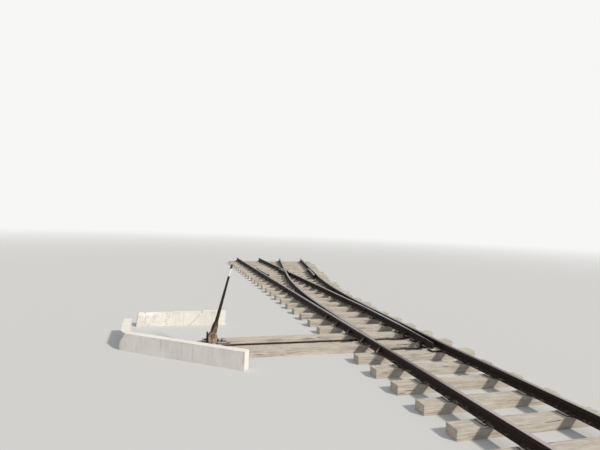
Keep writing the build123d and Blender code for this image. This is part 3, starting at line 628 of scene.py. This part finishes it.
# x and run angle of the branch line at an offset from its left running edge.
def branchAt(offset, y):
    radius = curveRadius - offset
    if y < curveY + radius * bladeSin:
        fromToe = y + offset * bladeSin
        return toeX + offset * bladeCos + fromToe * math.tan(bladeAngle), bladeAngle
    if y < curveY + radius * crossingSin:
        angle = math.asin((y - curveY) / radius)
        return curveX - radius * math.cos(angle), angle
    fromCrossing = y - crossingY + offset * crossingSin
    x = halfGauge + offset * crossingCos
    return x + fromCrossing * math.tan(crossingAngle), crossingAngle


# Centre x and angle of every rail that a tie plate carries at y.
def railsAt(y):
    lines = [(-railCentre, 0.0)]
    if y < 0:
        return lines + [(railCentre, 0.0)]
    lines.append(branchAt(outerOffset, y))
    if y > track["bladeLength"]:
        lines += [(railCentre, 0.0), branchAt(-halfHead, y)]
    if abs(y - crossingY) < track["checkHalf"]:
        lines.append((-railCentre + track["head"] + track["checkGap"], 0.0))
        lines.append(branchAt(outerOffset - track["head"] - track["checkGap"], y))
    return sorted(lines)


# A matrix that sets a piece modelled along +Y on a rail line.
def placed(x, y, z, angle=0.0):
    return Matrix.Translation((x, y, z)) @ Matrix.Rotation(-angle, 4, "Z")


# Timbers


timberNodes = (
    "timbers_near", "headblock_near", "headblock_far", "timbers_switch", "timbers_closure",
    "timbers_crossing")
timberSizes = {
    "height": 0.12, "inset": 0.003, "topInset": 0.001, "edge": 0.009, "wobble": 0.0028,
    "cutPitch": 0.11, "rows": 5, "checkShare": 0.8, "checkRows": (2, 3, 4), "checkGap": 0.002,
    "checkDepth": (0.03, 0.11)}


# (low, high) of each timber in a CAD node.
def timberBoxes(node):
    spots = [v.co for v in frame["nodes"][node].data.vertices]
    ys = sorted({round(c.y, 3) for c in spots})
    boxes = []
    for y0, y1 in zip(ys[::2], ys[1::2]):
        xs = [c.x for c in spots if abs(c.y - y0) < 0.002]
        boxes.append(((min(xs), y0, 0.0), (max(xs), y1, timberSizes["height"])))
    return boxes


# A drying check at a timber's end: one row pushed in, its neighbours drawn together.
def splitEnd(timber, endX, inward, row, depth):
    s = timberSizes
    ys = [v.co.y for v in timber.data.vertices]
    pitch = (max(ys) - min(ys)) / (s["rows"] + 1)
    centre = min(ys) + row * pitch
    moves = ((0, (inward * depth, 0, 0)), (-1, (0, pitch - s["checkGap"], 0)),
             (1, (0, s["checkGap"] - pitch, 0)))
    for side, move in moves:
        y = centre + side * pitch
        moveVertices(timber, move, lambda v: abs(v.co.x - endX) < 0.004 and abs(v.co.y - y) < 0.006)


def makeTimber(low, high, seed):
    s = timberSizes
    dice = random.Random(seed)
    lowX, highX = low[0] + s["inset"], high[0] - s["inset"]
    timber = addCube("timber", (lowX, low[1] + s["inset"], 0),
                     (highX, high[1] - s["inset"], high[2] - s["topInset"]))
    cutAlong(timber, yWay, s["rows"])
    cutAlong(timber, xWay, round((high[0] - low[0]) / s["cutPitch"]))
    for endX, inward in ((lowX, 1), (highX, -1)):
        if dice.random() < s["checkShare"]:
            splitEnd(timber, endX, inward, dice.choice(s["checkRows"]), dice.uniform(*s["checkDepth"]))
    bevelSharp(timber, s["edge"] * dice.uniform(0.6, 1.2), 2, 60)
    roughen(timber, s["wobble"], seed)
    flattenFoot(timber, 0.004)
    return timber


def makeTimbers():
    seed = 1
    for node in timberNodes:
        made = []
        for low, high in timberBoxes(node):
            made.append(makeTimber(low, high, seed))
            seed += 1
        pile = joinAll(made, node + "Worn")
        smoothByAngle(pile, 40)
        give(pile, timberWood, "track", "timber", node)


# One joined mesh of copies of a spike, bolt or nut, each at its matrix.
def scatter(source, matrices, name, body="track", slot="plate_steel"):
    copies = [copyTo(source, m, name + "Copy") for m in matrices]
    bpy.data.objects.remove(source)
    give(joinAll(copies, name), boltSteel, body, slot)


# Spikes


spikeSizes = {
    "shank": 0.016, "stem": 0.013, "head": (0.036, 0.026), "lip": 0.006, "rise": 0.008,
    "dome": 0.005, "offset": 0.066, "stagger": 0.042, "clear": 0.075, "missing": 0.07,
    "shift": 0.006, "turn": 0.12, "lifts": (0.0, 0.0, 0.0, 0.004, 0.010)}


# A dog spike at the origin, its lip towards -X.
def makeSpike():
    s = spikeSizes
    half = s["shank"] / 2
    spike = addCube("spike", (-half, -half, -0.004), (half, half, s["stem"]))
    with editing(spike, "FACE", facesUp):
        extrude(-s["lip"], 0, 0.001)
        bpy.ops.transform.resize(value=(s["head"][0] / s["shank"], s["head"][1] / s["shank"], 1))
        extrude(0, 0, s["rise"])
        extrude(0, 0, s["dome"])
        bpy.ops.transform.resize(value=(0.55, 0.5, 1))
    bevelSharp(spike, 0.0015, 1, 30)
    return spike


# Two spikes at each rail on each timber outside the switch, now and then one missing or worked up.
def spikePlaces():
    s = spikeSizes
    dice = random.Random(7)
    places = []
    for low, high in (box for node in timberNodes for box in timberBoxes(node)):
        y = (low[1] + high[1]) / 2
        if -0.05 < y <= track["bladeLength"] + 0.05:
            continue
        lines = railsAt(y)
        for (x, angle), side in ((line, side) for line in lines for side in (-1, 1)):
            px = x + side * s["offset"] / math.cos(angle)
            if any(abs(px - other) < s["clear"] for other, _ in lines if other != x):
                continue
            if dice.random() < s["missing"]:
                continue
            dy = side * s["stagger"] + dice.uniform(-s["shift"], s["shift"])
            lift = dice.choice(s["lifts"])
            turn = angle - (0 if side > 0 else math.pi) + dice.uniform(-s["turn"], s["turn"])
            places.append(placed(px + dy * math.tan(angle), y + dy, track["base"] + lift, turn))
    return places


# Track bolts


boltSizes = {
    "head": 0.034, "headDeep": 0.014, "nut": 0.018, "nutDeep": 0.018, "thread": 0.010,
    "tail": 0.012, "fishReach": 0.026}
jointSizes = {
    "outerY": 6.0, "crossing": (-0.9, 0.95), "steps": (-0.18, -0.06, 0.06, 0.18),
    "checkBlocks": (-0.6, 0.0, 0.6), "checkStep": 0.03}


# The +X end of a bolt or nut, its rim taken back.
def addEnd(name, radius, start, length, vertices, rim, rise):
    end = addCylinder(name, radius, length, (start + length / 2, 0, 0), "X", vertices)
    with editing(end, "FACE", lambda face: face.normal.x > 0.9):
        bpy.ops.mesh.inset(thickness=rim, depth=rise)
    return end


# A bolt along X with a square head at -reach and a nut with its thread at +reach.
def makeBolt(name, reach):
    s = boltSizes
    half = s["head"] / 2
    head = addCube(name + "Head", (-reach - s["headDeep"], -half, -half), (-reach, half, half))
    bevelSharp(head, 0.003, 1)
    nut = addEnd(name + "Nut", s["nut"], reach, s["nutDeep"], 6, 0.003, 0.002)
    tail = addEnd(name + "Tail", s["thread"], reach, s["tail"] + s["nutDeep"], 10, 0.002, 0.0015)
    return joinAll([head, nut, tail], name)


# Middle and run angle of each fished joint.
def fishedJoints():
    y = jointSizes["outerY"]
    outerX, outerAngle = branchAt(outerOffset, y)
    straight, branch = [], []
    for reach in jointSizes["crossing"]:
        branchY = crossingY + reach * crossingCos + halfHead * crossingSin
        straight.append((railCentre, crossingY + reach, 0.0))
        branch.append((branchAt(-halfHead, branchY)[0], branchY, crossingAngle))
    return [(-railCentre, y, 0.0), (outerX, y, outerAngle), *straight, *branch]


# Four bolts at each joint, every second one turned about.
def fishboltPlaces():
    places = []
    for x, y, angle in fishedJoints():
        for n, step in enumerate(jointSizes["steps"]):
            spot = x + step * math.sin(angle), y + step * math.cos(angle), boltLevel
            places.append(placed(*spot, angle + (math.pi if n % 2 else 0.0)))
    return places


# Two bolts through each of the check rails' blocks.
def checkBoltPlaces(span):
    places = []
    offset = outerOffset - span / 2
    for step in (b + side * jointSizes["checkStep"] for b in jointSizes["checkBlocks"] for side in (-1, 1)):
        places.append(placed(-railCentre + span / 2, crossingY + step, boltLevel))
        x = halfGauge + offset * crossingCos + step * crossingSin
        y = crossingY - offset * crossingSin + step * crossingCos
        places.append(placed(x, y, boltLevel, crossingAngle))
    return places


def makeFixings():
    span = track["checkGap"] + track["head"]
    checkReach = span / 2 + track["web"] / 2
    scatter(makeSpike(), spikePlaces(), "railSpikes")
    scatter(makeBolt("fishbolt", boltSizes["fishReach"]), fishboltPlaces(), "fishbolts")
    scatter(makeBolt("checkBolt", checkReach), checkBoltPlaces(span), "checkRailBolts")


makeTimbers()
print("timbers made")
makeFixings()
print("spikes and bolts made")


# Kerb


kerbSizes = {
    "walls": (("kerb_front", (-2.670, -0.085), (-4.420, 1.225)),
              ("kerb_end", (-4.420, 1.225), (-4.450, 2.300)),
              ("kerb_back", (-4.290, 2.875), (-2.595, 2.830))),
    "height": 0.27, "halfThick": 0.065, "board": 0.075, "rows": 4, "edge": 0.007, "pull": 0.0025,
    "wobble": 0.0016, "topWobble": 0.005, "chip": (0.10, 0.16, 0.15), "chipHollow": 0.007,
    "chipRough": 0.008, "endBreak": 0.035, "breakAt": 0.1, "breakLean": {1: 0.15, 2: 0.12},
    "breakBulge": 0.012, "breakRough": 0.012,
    "crumbleLength": 0.62, "crumbleDeep": (0.002, 0.062), "crumbleIn": 0.4, "crackAt": (1.0, 1.24),
    "crackWide": 0.0035, "crackDeep": 0.018, "crackWander": 0.008, "settled": 0.011, "settledAbove": 0.14}
frontWall, endWall, backWall = range(3)


# Start, direction and length of a wall's outer foot line.
def wallWay(wall):
    a, b = (Vector((*p, 0)) for p in kerbSizes["walls"][wall][1:])
    return a, (b - a).normalized(), (b - a).length


# A block drawn out to the CAD wall's four plan corners.
def castWall(node, wall):
    s = kerbSizes
    outer = s["walls"][wall][1:]
    way, length = wallWay(wall)[1:]
    spots = {(round(v.co.x, 4), round(v.co.y, 4)) for v in frame["nodes"][node].data.vertices}
    ends = [min(spots, key=lambda p: math.dist(p, end)) for end in outer]
    inside = sorted(spots - set(ends), key=lambda p: math.dist(p, ends[0]))[:2]
    block = addCube(node + "Cast", (0, 0, 0), (1, 1, s["height"]))
    for (x, y), (toX, toY) in zip(((0, 0), (1, 0), (0, 1), (1, 1)), (*ends, *inside)):
        move = toX - x, toY - y, 0
        moveVertices(block, move, lambda v: abs(v.co.x - x) < 0.01 and abs(v.co.y - y) < 0.01)
    with editing(block, "FACE"):
        bpy.ops.mesh.normals_make_consistent(inside=False)
    cutAlong(block, way, round(length / s["board"]), 0.85)
    cutAlong(block, zWay, s["rows"], 0.85)
    cutAlong(block, Vector((-way.y, way.x, 0)), 2, 0.85)
    return block


# Take off what lies past a plane and leave the new face rough, in the slot's material.
def breakOff(block, place, normal, bulge, rough, seed):
    with editing(block, "FACE"):
        bpy.ops.mesh.bisect(plane_co=place, plane_no=normal, use_fill=True, clear_outer=True)
    with editing(block, "FACE", lambda f: f.normal.dot(normal) > 0.98):
        bpy.ops.mesh.poke(offset=bulge)
        bpy.ops.mesh.subdivide(number_cuts=2)
        bpy.ops.mesh.subdivide(number_cuts=1)
        bpy.ops.object.material_slot_assign()
        bpy.ops.mesh.select_less()
        bpy.ops.transform.vertex_random(offset=rough, seed=seed)


# Knock the top off the outer corner where the front and end walls meet.
def breakCorner(block):
    s = kerbSizes
    alongFront, alongEnd, down = s["chip"]
    corner = wallWay(endWall)[0] + zWay * s["height"]
    a = corner - wallWay(frontWall)[1] * alongFront
    b = corner + wallWay(endWall)[1] * alongEnd
    c = corner - zWay * down
    normal = (b - a).cross(c - a).normalized()
    if normal.dot(corner - a) < 0:
        normal.negate()
    breakOff(block, a, normal, -s["chipHollow"], s["chipRough"], 3)


# Break a wall's free end off rough: side is 1 for its far end, -1 for its start.
def breakEnd(block, wall, side, seed):
    s = kerbSizes
    start, way, length = wallWay(wall)
    run = length - s["endBreak"] if side > 0 else s["endBreak"]
    normal = (way * side + zWay * s["breakLean"][wall]).normalized()
    breakOff(block, start + way * run + zWay * s["breakAt"], normal, s["breakBulge"], s["breakRough"], seed)


# The back wall's left part has lost its edges.
def crumble(block):
    s = kerbSizes
    start, way = wallWay(backWall)[:2]
    across = Vector((way.y, -way.x, 0))
    middle = start + across * s["halfThick"]
    dice = random.Random(11)
    for n in range(math.ceil(s["crumbleLength"] / s["board"])):
        low, high = n * s["board"], (n + 1) * s["board"]
        for side in (-1, 1):
            drop = dice.uniform(*s["crumbleDeep"]) * (1.15 - low / s["crumbleLength"])
            inward = -side * drop * s["crumbleIn"]

            def onEdge(v):
                atBoard = low <= (v.co - start).dot(way) < high
                return atBoard and v.co.z > s["height"] - 0.02 and (v.co - middle).dot(across) * side > 0.03

            moveVertices(block, across * inward - zWay * drop, onEdge)


# A crack right through the back wall, its faces in a darker concrete painted as the shade inside the crack,
# with the piece to its left settled.
def crackWall(block):
    s = kerbSizes
    start, way = wallWay(backWall)[:2]
    low, high = (start + way * d for d in s["crackAt"])
    high = high + zWay * s["height"]
    normal = (high - low).cross(Vector((way.y, -way.x, 0))).normalized()
    with editing(block, "EDGE"):
        bpy.ops.mesh.bisect(plane_co=low, plane_no=normal)
        bpy.ops.transform.vertex_random(offset=s["crackWander"], seed=2)
        bpy.ops.mesh.bevel(offset=s["crackWide"], segments=1, affect="EDGES")
        bpy.ops.mesh.select_mode(type="FACE")
        bpy.ops.object.material_slot_assign()
        bpy.ops.mesh.extrude_region_shrink_fatten(TRANSFORM_OT_shrink_fatten={"value": -s["crackDeep"]})

    def settles(v):
        return v.co.z > s["settledAbove"] and (v.co - low).dot(normal) * way.dot(normal) < 0

    moveVertices(block, (0, 0, -s["settled"]), settles)


def makeKerb():
    s = kerbSizes
    for wall, node in enumerate(w[0] for w in s["walls"]):
        block = castWall(node, wall)
        for material in (concrete, crackShadeConcrete, chippedConcrete):
            block.data.materials.append(material)
        block.active_material_index = 2
        if wall in (frontWall, endWall):
            breakCorner(block)
        if wall == endWall:
            breakEnd(block, wall, 1, 22)
        if wall == backWall:
            crumble(block)
            breakEnd(block, wall, -1, 21)
        bevelSharp(block, s["edge"], 2, 50)
        roughen(block, s["wobble"], wall + 5)
        roughen(block, s["topWobble"], wall + 9, lambda v: v.co.z > s["height"] - 0.004 and v.index % 5 == 0)
        if wall == backWall:
            block.active_material_index = 1
            crackWall(block)
        flattenFoot(block, 0.006)
        block.data.transform(Matrix.Translation((s["pull"], 0, 0)))
        smoothByAngle(block, 30)
        attach(block, "track", "concrete", node)


# Lever and stand


leverFrame = Matrix.Translation(leverPivot) @ Matrix.Rotation(leverLean, 4, "Y")
leverSizes = {
    "barLow": 0.212, "barTop": 1.086, "lowRadius": 0.028, "topRadius": 0.0145, "barCuts": 34,
    "barWobble": 0.0006, "tipRadius": 0.0165, "tipTop": 1.149, "tipRound": 0.006, "tipCuts": 6,
    "tipWobble": 0.0005}


def setOn(obj, matrix):
    activate(obj)
    obj.matrix_world = matrix
    applyPlace()


# Rough and smooth a forging modelled upright, then set it on the leaning lever.
def fitToLever(obj, wobble, seed, angle, material, node):
    roughen(obj, wobble, seed)
    smoothByAngle(obj, angle)
    setOn(obj, leverFrame)
    give(obj, material, "lever", "forged_iron", node)


def makeLeverBar():
    s = leverSizes
    deselectAll()
    bpy.ops.mesh.primitive_cone_add(
        vertices=20, radius1=s["lowRadius"], radius2=s["topRadius"], depth=s["barTop"] - s["barLow"],
        location=(0, 0, (s["barTop"] + s["barLow"]) / 2))
    bar = lastMade("leverBarForged")
    applyPlace()
    cutAlong(bar, zWay, s["barCuts"])
    fitToLever(bar, s["barWobble"], 4, 40, leverIron, "lever_bar")


def makeLeverTip():
    s = leverSizes
    length = s["tipTop"] - s["barTop"]
    tip = addCylinder("leverTipForged", s["tipRadius"], length, (0, 0, s["barTop"] + length / 2), "Z", 20)
    cutAlong(tip, zWay, s["tipCuts"])
    with editing(tip, "FACE", facesUp):
        bpy.ops.mesh.bevel(offset=s["tipRound"], segments=4, affect="EDGES")
    fitToLever(tip, s["tipWobble"], 8, 45, forgedIron, "lever_tip")


standSizes = {
    "worn": 0.0025, "boltOut": (0.095, 0.22), "washer": (0.026, 0.004), "head": (0.015, 0.012),
    "ring": (0.031, 0.004), "ringIn": 0.0058, "edge": 0.001}


# A CAD piece again, with its planar faces whole and its edges worn round.
def softenCopy(node, name, material, body):
    obj = copyTo(frame["nodes"][node], Matrix.Identity(4), name)
    obj.parent = None
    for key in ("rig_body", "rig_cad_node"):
        del obj[key]
    with editing(obj, "VERT"):
        bpy.ops.mesh.remove_doubles(threshold=0.0001)
        bpy.ops.mesh.dissolve_limited(angle_limit=math.radians(2))
    bevelSharp(obj, standSizes["worn"], 2, 30)
    smoothByAngle(obj, 35)
    give(obj, material, body, "forged_iron", node)


# A washer under a square head, at the origin.
def makeCoachBolt():
    s = standSizes
    washerRadius, washerDeep = s["washer"]
    half, deep = s["head"]
    washer = addCylinder("coachWasher", washerRadius, washerDeep, (0, 0, washerDeep / 2), "Z", 20)
    bevelSharp(washer, s["edge"], 1, 50)
    head = addCube("coachHead", (-half, -half, washerDeep), (half, half, washerDeep + deep))
    with editing(head, "FACE", facesUp):
        bpy.ops.mesh.inset(thickness=0.004, depth=0.003)
    return joinAll([washer, head], "coachBolt")


# A ring round each end of the pivot pin.
def makePinRings():
    s = standSizes
    radius, deep = s["ring"]
    low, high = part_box("pivot_pin")
    rings = []
    for y in (low.y + s["ringIn"], high.y - s["ringIn"]):
        ring = addCylinder("pinRing", radius, deep, (leverPivot.x, y, leverPivot.z), "Y", 24)
        bevelSharp(ring, s["edge"], 1, 50)
        rings.append(ring)
    give(joinAll(rings, "pivotWashers"), boltSteel, "track", "forged_iron")


wornPieces = (
    ("lever_forging", "leverForgingWorn", socketIron, "lever"),
    ("bearing_cheek_near", "cheekNearWorn", standIron, "track"),
    ("bearing_cheek_far", "cheekFarWorn", standIron, "track"),
    ("stop_blocks", "stopBlocksWorn", forgedIron, "track"),
    ("rod_guard", "rodGuardWorn", guardIron, "track"),
    ("stand_plate", "standPlateWorn", standIron, "track"))


def makeStand():
    for piece in wornPieces:
        softenCopy(*piece)
    outX, outY = standSizes["boltOut"]
    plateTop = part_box("bearing_cheek_near")[0].z
    places = [placed(leverPivot.x + x, leverPivot.y + y, plateTop)
              for x in (-outX, outX) for y in (-outY, outY)]
    scatter(makeCoachBolt(), places, "standBolts", slot="forged_iron")
    frame["nodes"]["pivot_pin"].data.materials[0] = standIron
    makePinRings()


# Small fixings on the points


pointSizes = {
    "pivotY": 2.95, "lugReach": 0.0885, "lugSpots": (0.3, 0.9),
    "lugBolts": ((-0.014, 0.166), (0.014, 0.166), (0.0, 0.136)), "nut": (0.012, 0.010),
    "plates": 5, "platePitch": 0.6, "plateEdge": 0.105, "plateStep": 0.056, "plateLift": 0.001,
    "chairEdge": 0.103, "chairSpots": (2.925, 3.065), "heelReach": 0.085,
    "heelBolt": (0.014, 0.012)}


# x of the left blade's centre line, from the stock rail's running edge.
def bladeLine(y):
    return track["toeOffset"] + y * math.tan(bladeAngle) - halfHead / bladeCos


# From the left blade's own frame to either side of the track, points closed.
def sideFrame(side):
    if side < 0:
        return placed(-halfGauge, 0, 0)
    return placed(branchAt(track["gauge"], 0)[0], 0, 0, bladeAngle) @ Matrix.Scale(-1, 4, (1, 0, 0))


# The same for a blade at rest, where the right one stands open.
def bladeFrame(side):
    if side < 0:
        return sideFrame(side)
    swing = joints["blade_right_swing"]
    pivot = Matrix.Translation(swing["pos_m"])
    turn = Matrix.Rotation(-math.radians(swing["range_deg"][1]), 4, "Z")
    return pivot @ turn @ pivot.inverted() @ sideFrame(side)


# A nut at the origin, its free face towards +Z, with the bolt's end standing out of it.
def makeHexNut(name, radius, deep):
    nut = addCylinder(name, radius, deep, (0, 0, deep / 2), "Z", 6)
    with editing(nut, "FACE", facesUp):
        bpy.ops.mesh.inset(thickness=radius * 0.18, depth=radius * 0.1)
        bpy.ops.mesh.inset(thickness=radius * 0.25)
        extrude(0, 0, deep * 0.4)
    return nut


# Three nuts on each of a blade's lugs.
def makeLugNuts():
    s = pointSizes
    for side, body in ((-1, "blade_left"), (1, "blade_right")):
        blade = bladeFrame(side)
        away = (blade.to_3x3() @ xWay).normalized()
        turn = away.to_track_quat("Z", "Y").to_matrix().to_4x4()
        places = []
        for y in s["lugSpots"]:
            for dy, z in s["lugBolts"]:
                spot = blade @ Vector((bladeLine(y) + s["lugReach"], y + dy, z))
                places.append(Matrix.Translation(spot) @ turn)
        scatter(makeHexNut("lugNut", *s["nut"]), places, body + "LugNuts", body)


# Spikes outside the stock rails on the slide plates, coach bolts on the heel chairs.
def makePlateSpikes():
    s = pointSizes
    spikes, bolts = [], []
    for side in (-1, 1):
        base = sideFrame(side)
        turn = Matrix.Rotation(0 if side > 0 else math.pi, 4, "Z")
        for n in range(s["plates"]):
            for dy in (-s["plateStep"], s["plateStep"]):
                spot = Vector((-s["plateEdge"], s["platePitch"] * n + dy, track["base"] + s["plateLift"]))
                spikes.append(Matrix.Translation(base @ spot) @ turn)
        for y in s["chairSpots"]:
            for x in (-s["chairEdge"], bladeLine(s["pivotY"]) + s["heelReach"]):
                bolts.append(Matrix.Translation(base @ Vector((x, y, track["base"]))))
    scatter(makeSpike(), spikes, "slidePlateSpikes")
    scatter(makeHexNut("heelBolt", *s["heelBolt"]), bolts, "heelChairBolts")


clevisSizes = {
    "barTop": 0.1077, "barDeep": 0.020, "strap": (0.075, 0.062, 0.026, 0.007), "edge": 0.002,
    "collar": (0.024, 0.05), "collarOut": 0.05, "collarEdge": 0.003, "nut": (0.014, 0.011),
    "nutIn": 0.028}


# Two straps, a collar and a bolt that tie the throw rod to the stretcher's end.
def makeClevis():
    s = clevisSizes
    low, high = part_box("rear_stretcher")
    y = (low.y + high.y) / 2
    out, inward, half, thick = s["strap"]
    under = s["barTop"] - s["barDeep"]
    pieces = []
    for z in (s["barTop"], under - thick):
        strap = addCube("clevisStrap", (low.x - out, y - half, z), (low.x + inward, y + half, z + thick))
        bevelSharp(strap, s["edge"], 1, 50)
        pieces.append(strap)
    middle = (low.x - s["collarOut"], y, s["barTop"] - s["barDeep"] / 2)
    collar = addCylinder("clevisCollar", *s["collar"], middle, "X", 20)
    bevelSharp(collar, s["collarEdge"], 2, 50)
    nut = makeHexNut("clevisNut", *s["nut"])
    setOn(nut, placed(low.x + s["nutIn"], y, s["barTop"] + thick))
    clevis = joinAll([*pieces, collar, nut], "rodClevis")
    smoothByAngle(clevis, 35)
    give(clevis, boltSteel, "rod", "forged_iron")


makeKerb()
print("kerb made")
makeLeverBar()
makeLeverTip()
makeStand()
print("lever and stand made")
makeLugNuts()
makePlateSpikes()
makeClevis()
print("small fixings made")


# Camera, light and floor


cameraSizes = {
    "place": (-3.756, -6.296, 2.121), "yaw": 16.31, "pitch": 0.5, "roll": 2.18, "focal": 451.0,
    "wide": 600.0, "sensor": 36.0, "reach": 500}


def makeCamera():
    s = cameraSizes
    yaw, pitch, roll = (math.radians(s[k]) for k in ("yaw", "pitch", "roll"))
    level = Matrix.Rotation(-yaw, 3, "Z") @ Matrix.Rotation(math.pi / 2 - pitch, 3, "X")
    bpy.ops.object.camera_add(location=s["place"])
    camera = bpy.context.object
    camera.rotation_euler = (level @ Matrix.Rotation(roll, 3, "Z")).to_euler()
    camera.data.sensor_width = s["sensor"]
    camera.data.lens = s["sensor"] * s["focal"] / s["wide"]
    camera.data.clip_end = s["reach"]
    bpy.context.scene.camera = camera


lightSizes = {
    "towards": (0.513, -0.612, 0.602), "energy": 3.0, "spread": 5, "sun": (1.0, 0.965, 0.91),
    "sky": (0.86, 0.92, 1.0), "skyStrength": 0.58, "background": (0.93, 0.93, 0.92)}


def makeSun():
    s = lightSizes
    bpy.ops.object.light_add(type="SUN")
    sun = lastMade("keySun")
    sun.rotation_euler = Vector(s["towards"]).to_track_quat("Z", "Y").to_euler()
    sun.data.energy = s["energy"]
    sun.data.angle = math.radians(s["spread"])
    sun.data.color = s["sun"]


# Pale blue skylight, seen as the plain background by the camera and by what reflects.
def makeSky():
    s = lightSizes
    world = bpy.data.worlds.new("studio")
    bpy.context.scene.world = world
    world.use_nodes = True
    tree = world.node_tree
    sky = tree.nodes["Background"]
    feed(tree, sky.inputs["Color"], s["sky"])
    feed(tree, sky.inputs["Strength"], s["skyStrength"])
    plain = addNode(tree, "ShaderNodeBackground", {"Color": s["background"], "Strength": 1.0})
    path = addNode(tree, "ShaderNodeLightPath").outputs
    seen = path["Is Camera Ray"]
    for ray in ("Is Glossy Ray", "Is Transmission Ray"):
        seen = maths(tree, "MAXIMUM", seen, path[ray])
    blend = addNode(tree, "ShaderNodeMixShader", {0: seen, 1: sky.outputs[0], 2: plain.outputs[0]})
    feed(tree, tree.nodes["World Output"].inputs["Surface"], blend.outputs[0])


floorSizes = {
    "size": 400, "under": 0.0005, "middle": (0.0, 4.0, 0.0), "fade": (12.0, 60.0),
    "tone": (0.60, 0.585, 0.56)}


# A pale floor that fades into the background with distance.
def makeFloor():
    s = floorSizes
    deselectAll()
    bpy.ops.mesh.primitive_plane_add(size=s["size"], location=(0, 0, -s["under"]))
    floor = lastMade("floor")
    material, tree, shader, coords = newMaterial("paleFloor", 0.95, 0.1)
    feed(tree, shader.inputs["Base Color"], s["tone"])
    glow = addNode(tree, "ShaderNodeEmission", {"Color": lightSizes["background"], "Strength": 1.0})
    fade = mask(tree, awayFrom(tree, coords, s["middle"]), *s["fade"])
    blend = addNode(tree, "ShaderNodeMixShader", {0: fade, 1: shader.outputs[0], 2: glow.outputs[0]})
    feed(tree, tree.nodes["Material Output"].inputs["Surface"], blend.outputs[0])
    floor.data.materials.append(material)


makeCamera()
makeSun()
makeSky()
makeFloor()
bpy.context.scene.view_settings.view_transform = "Standard"
print("camera, light and floor set")
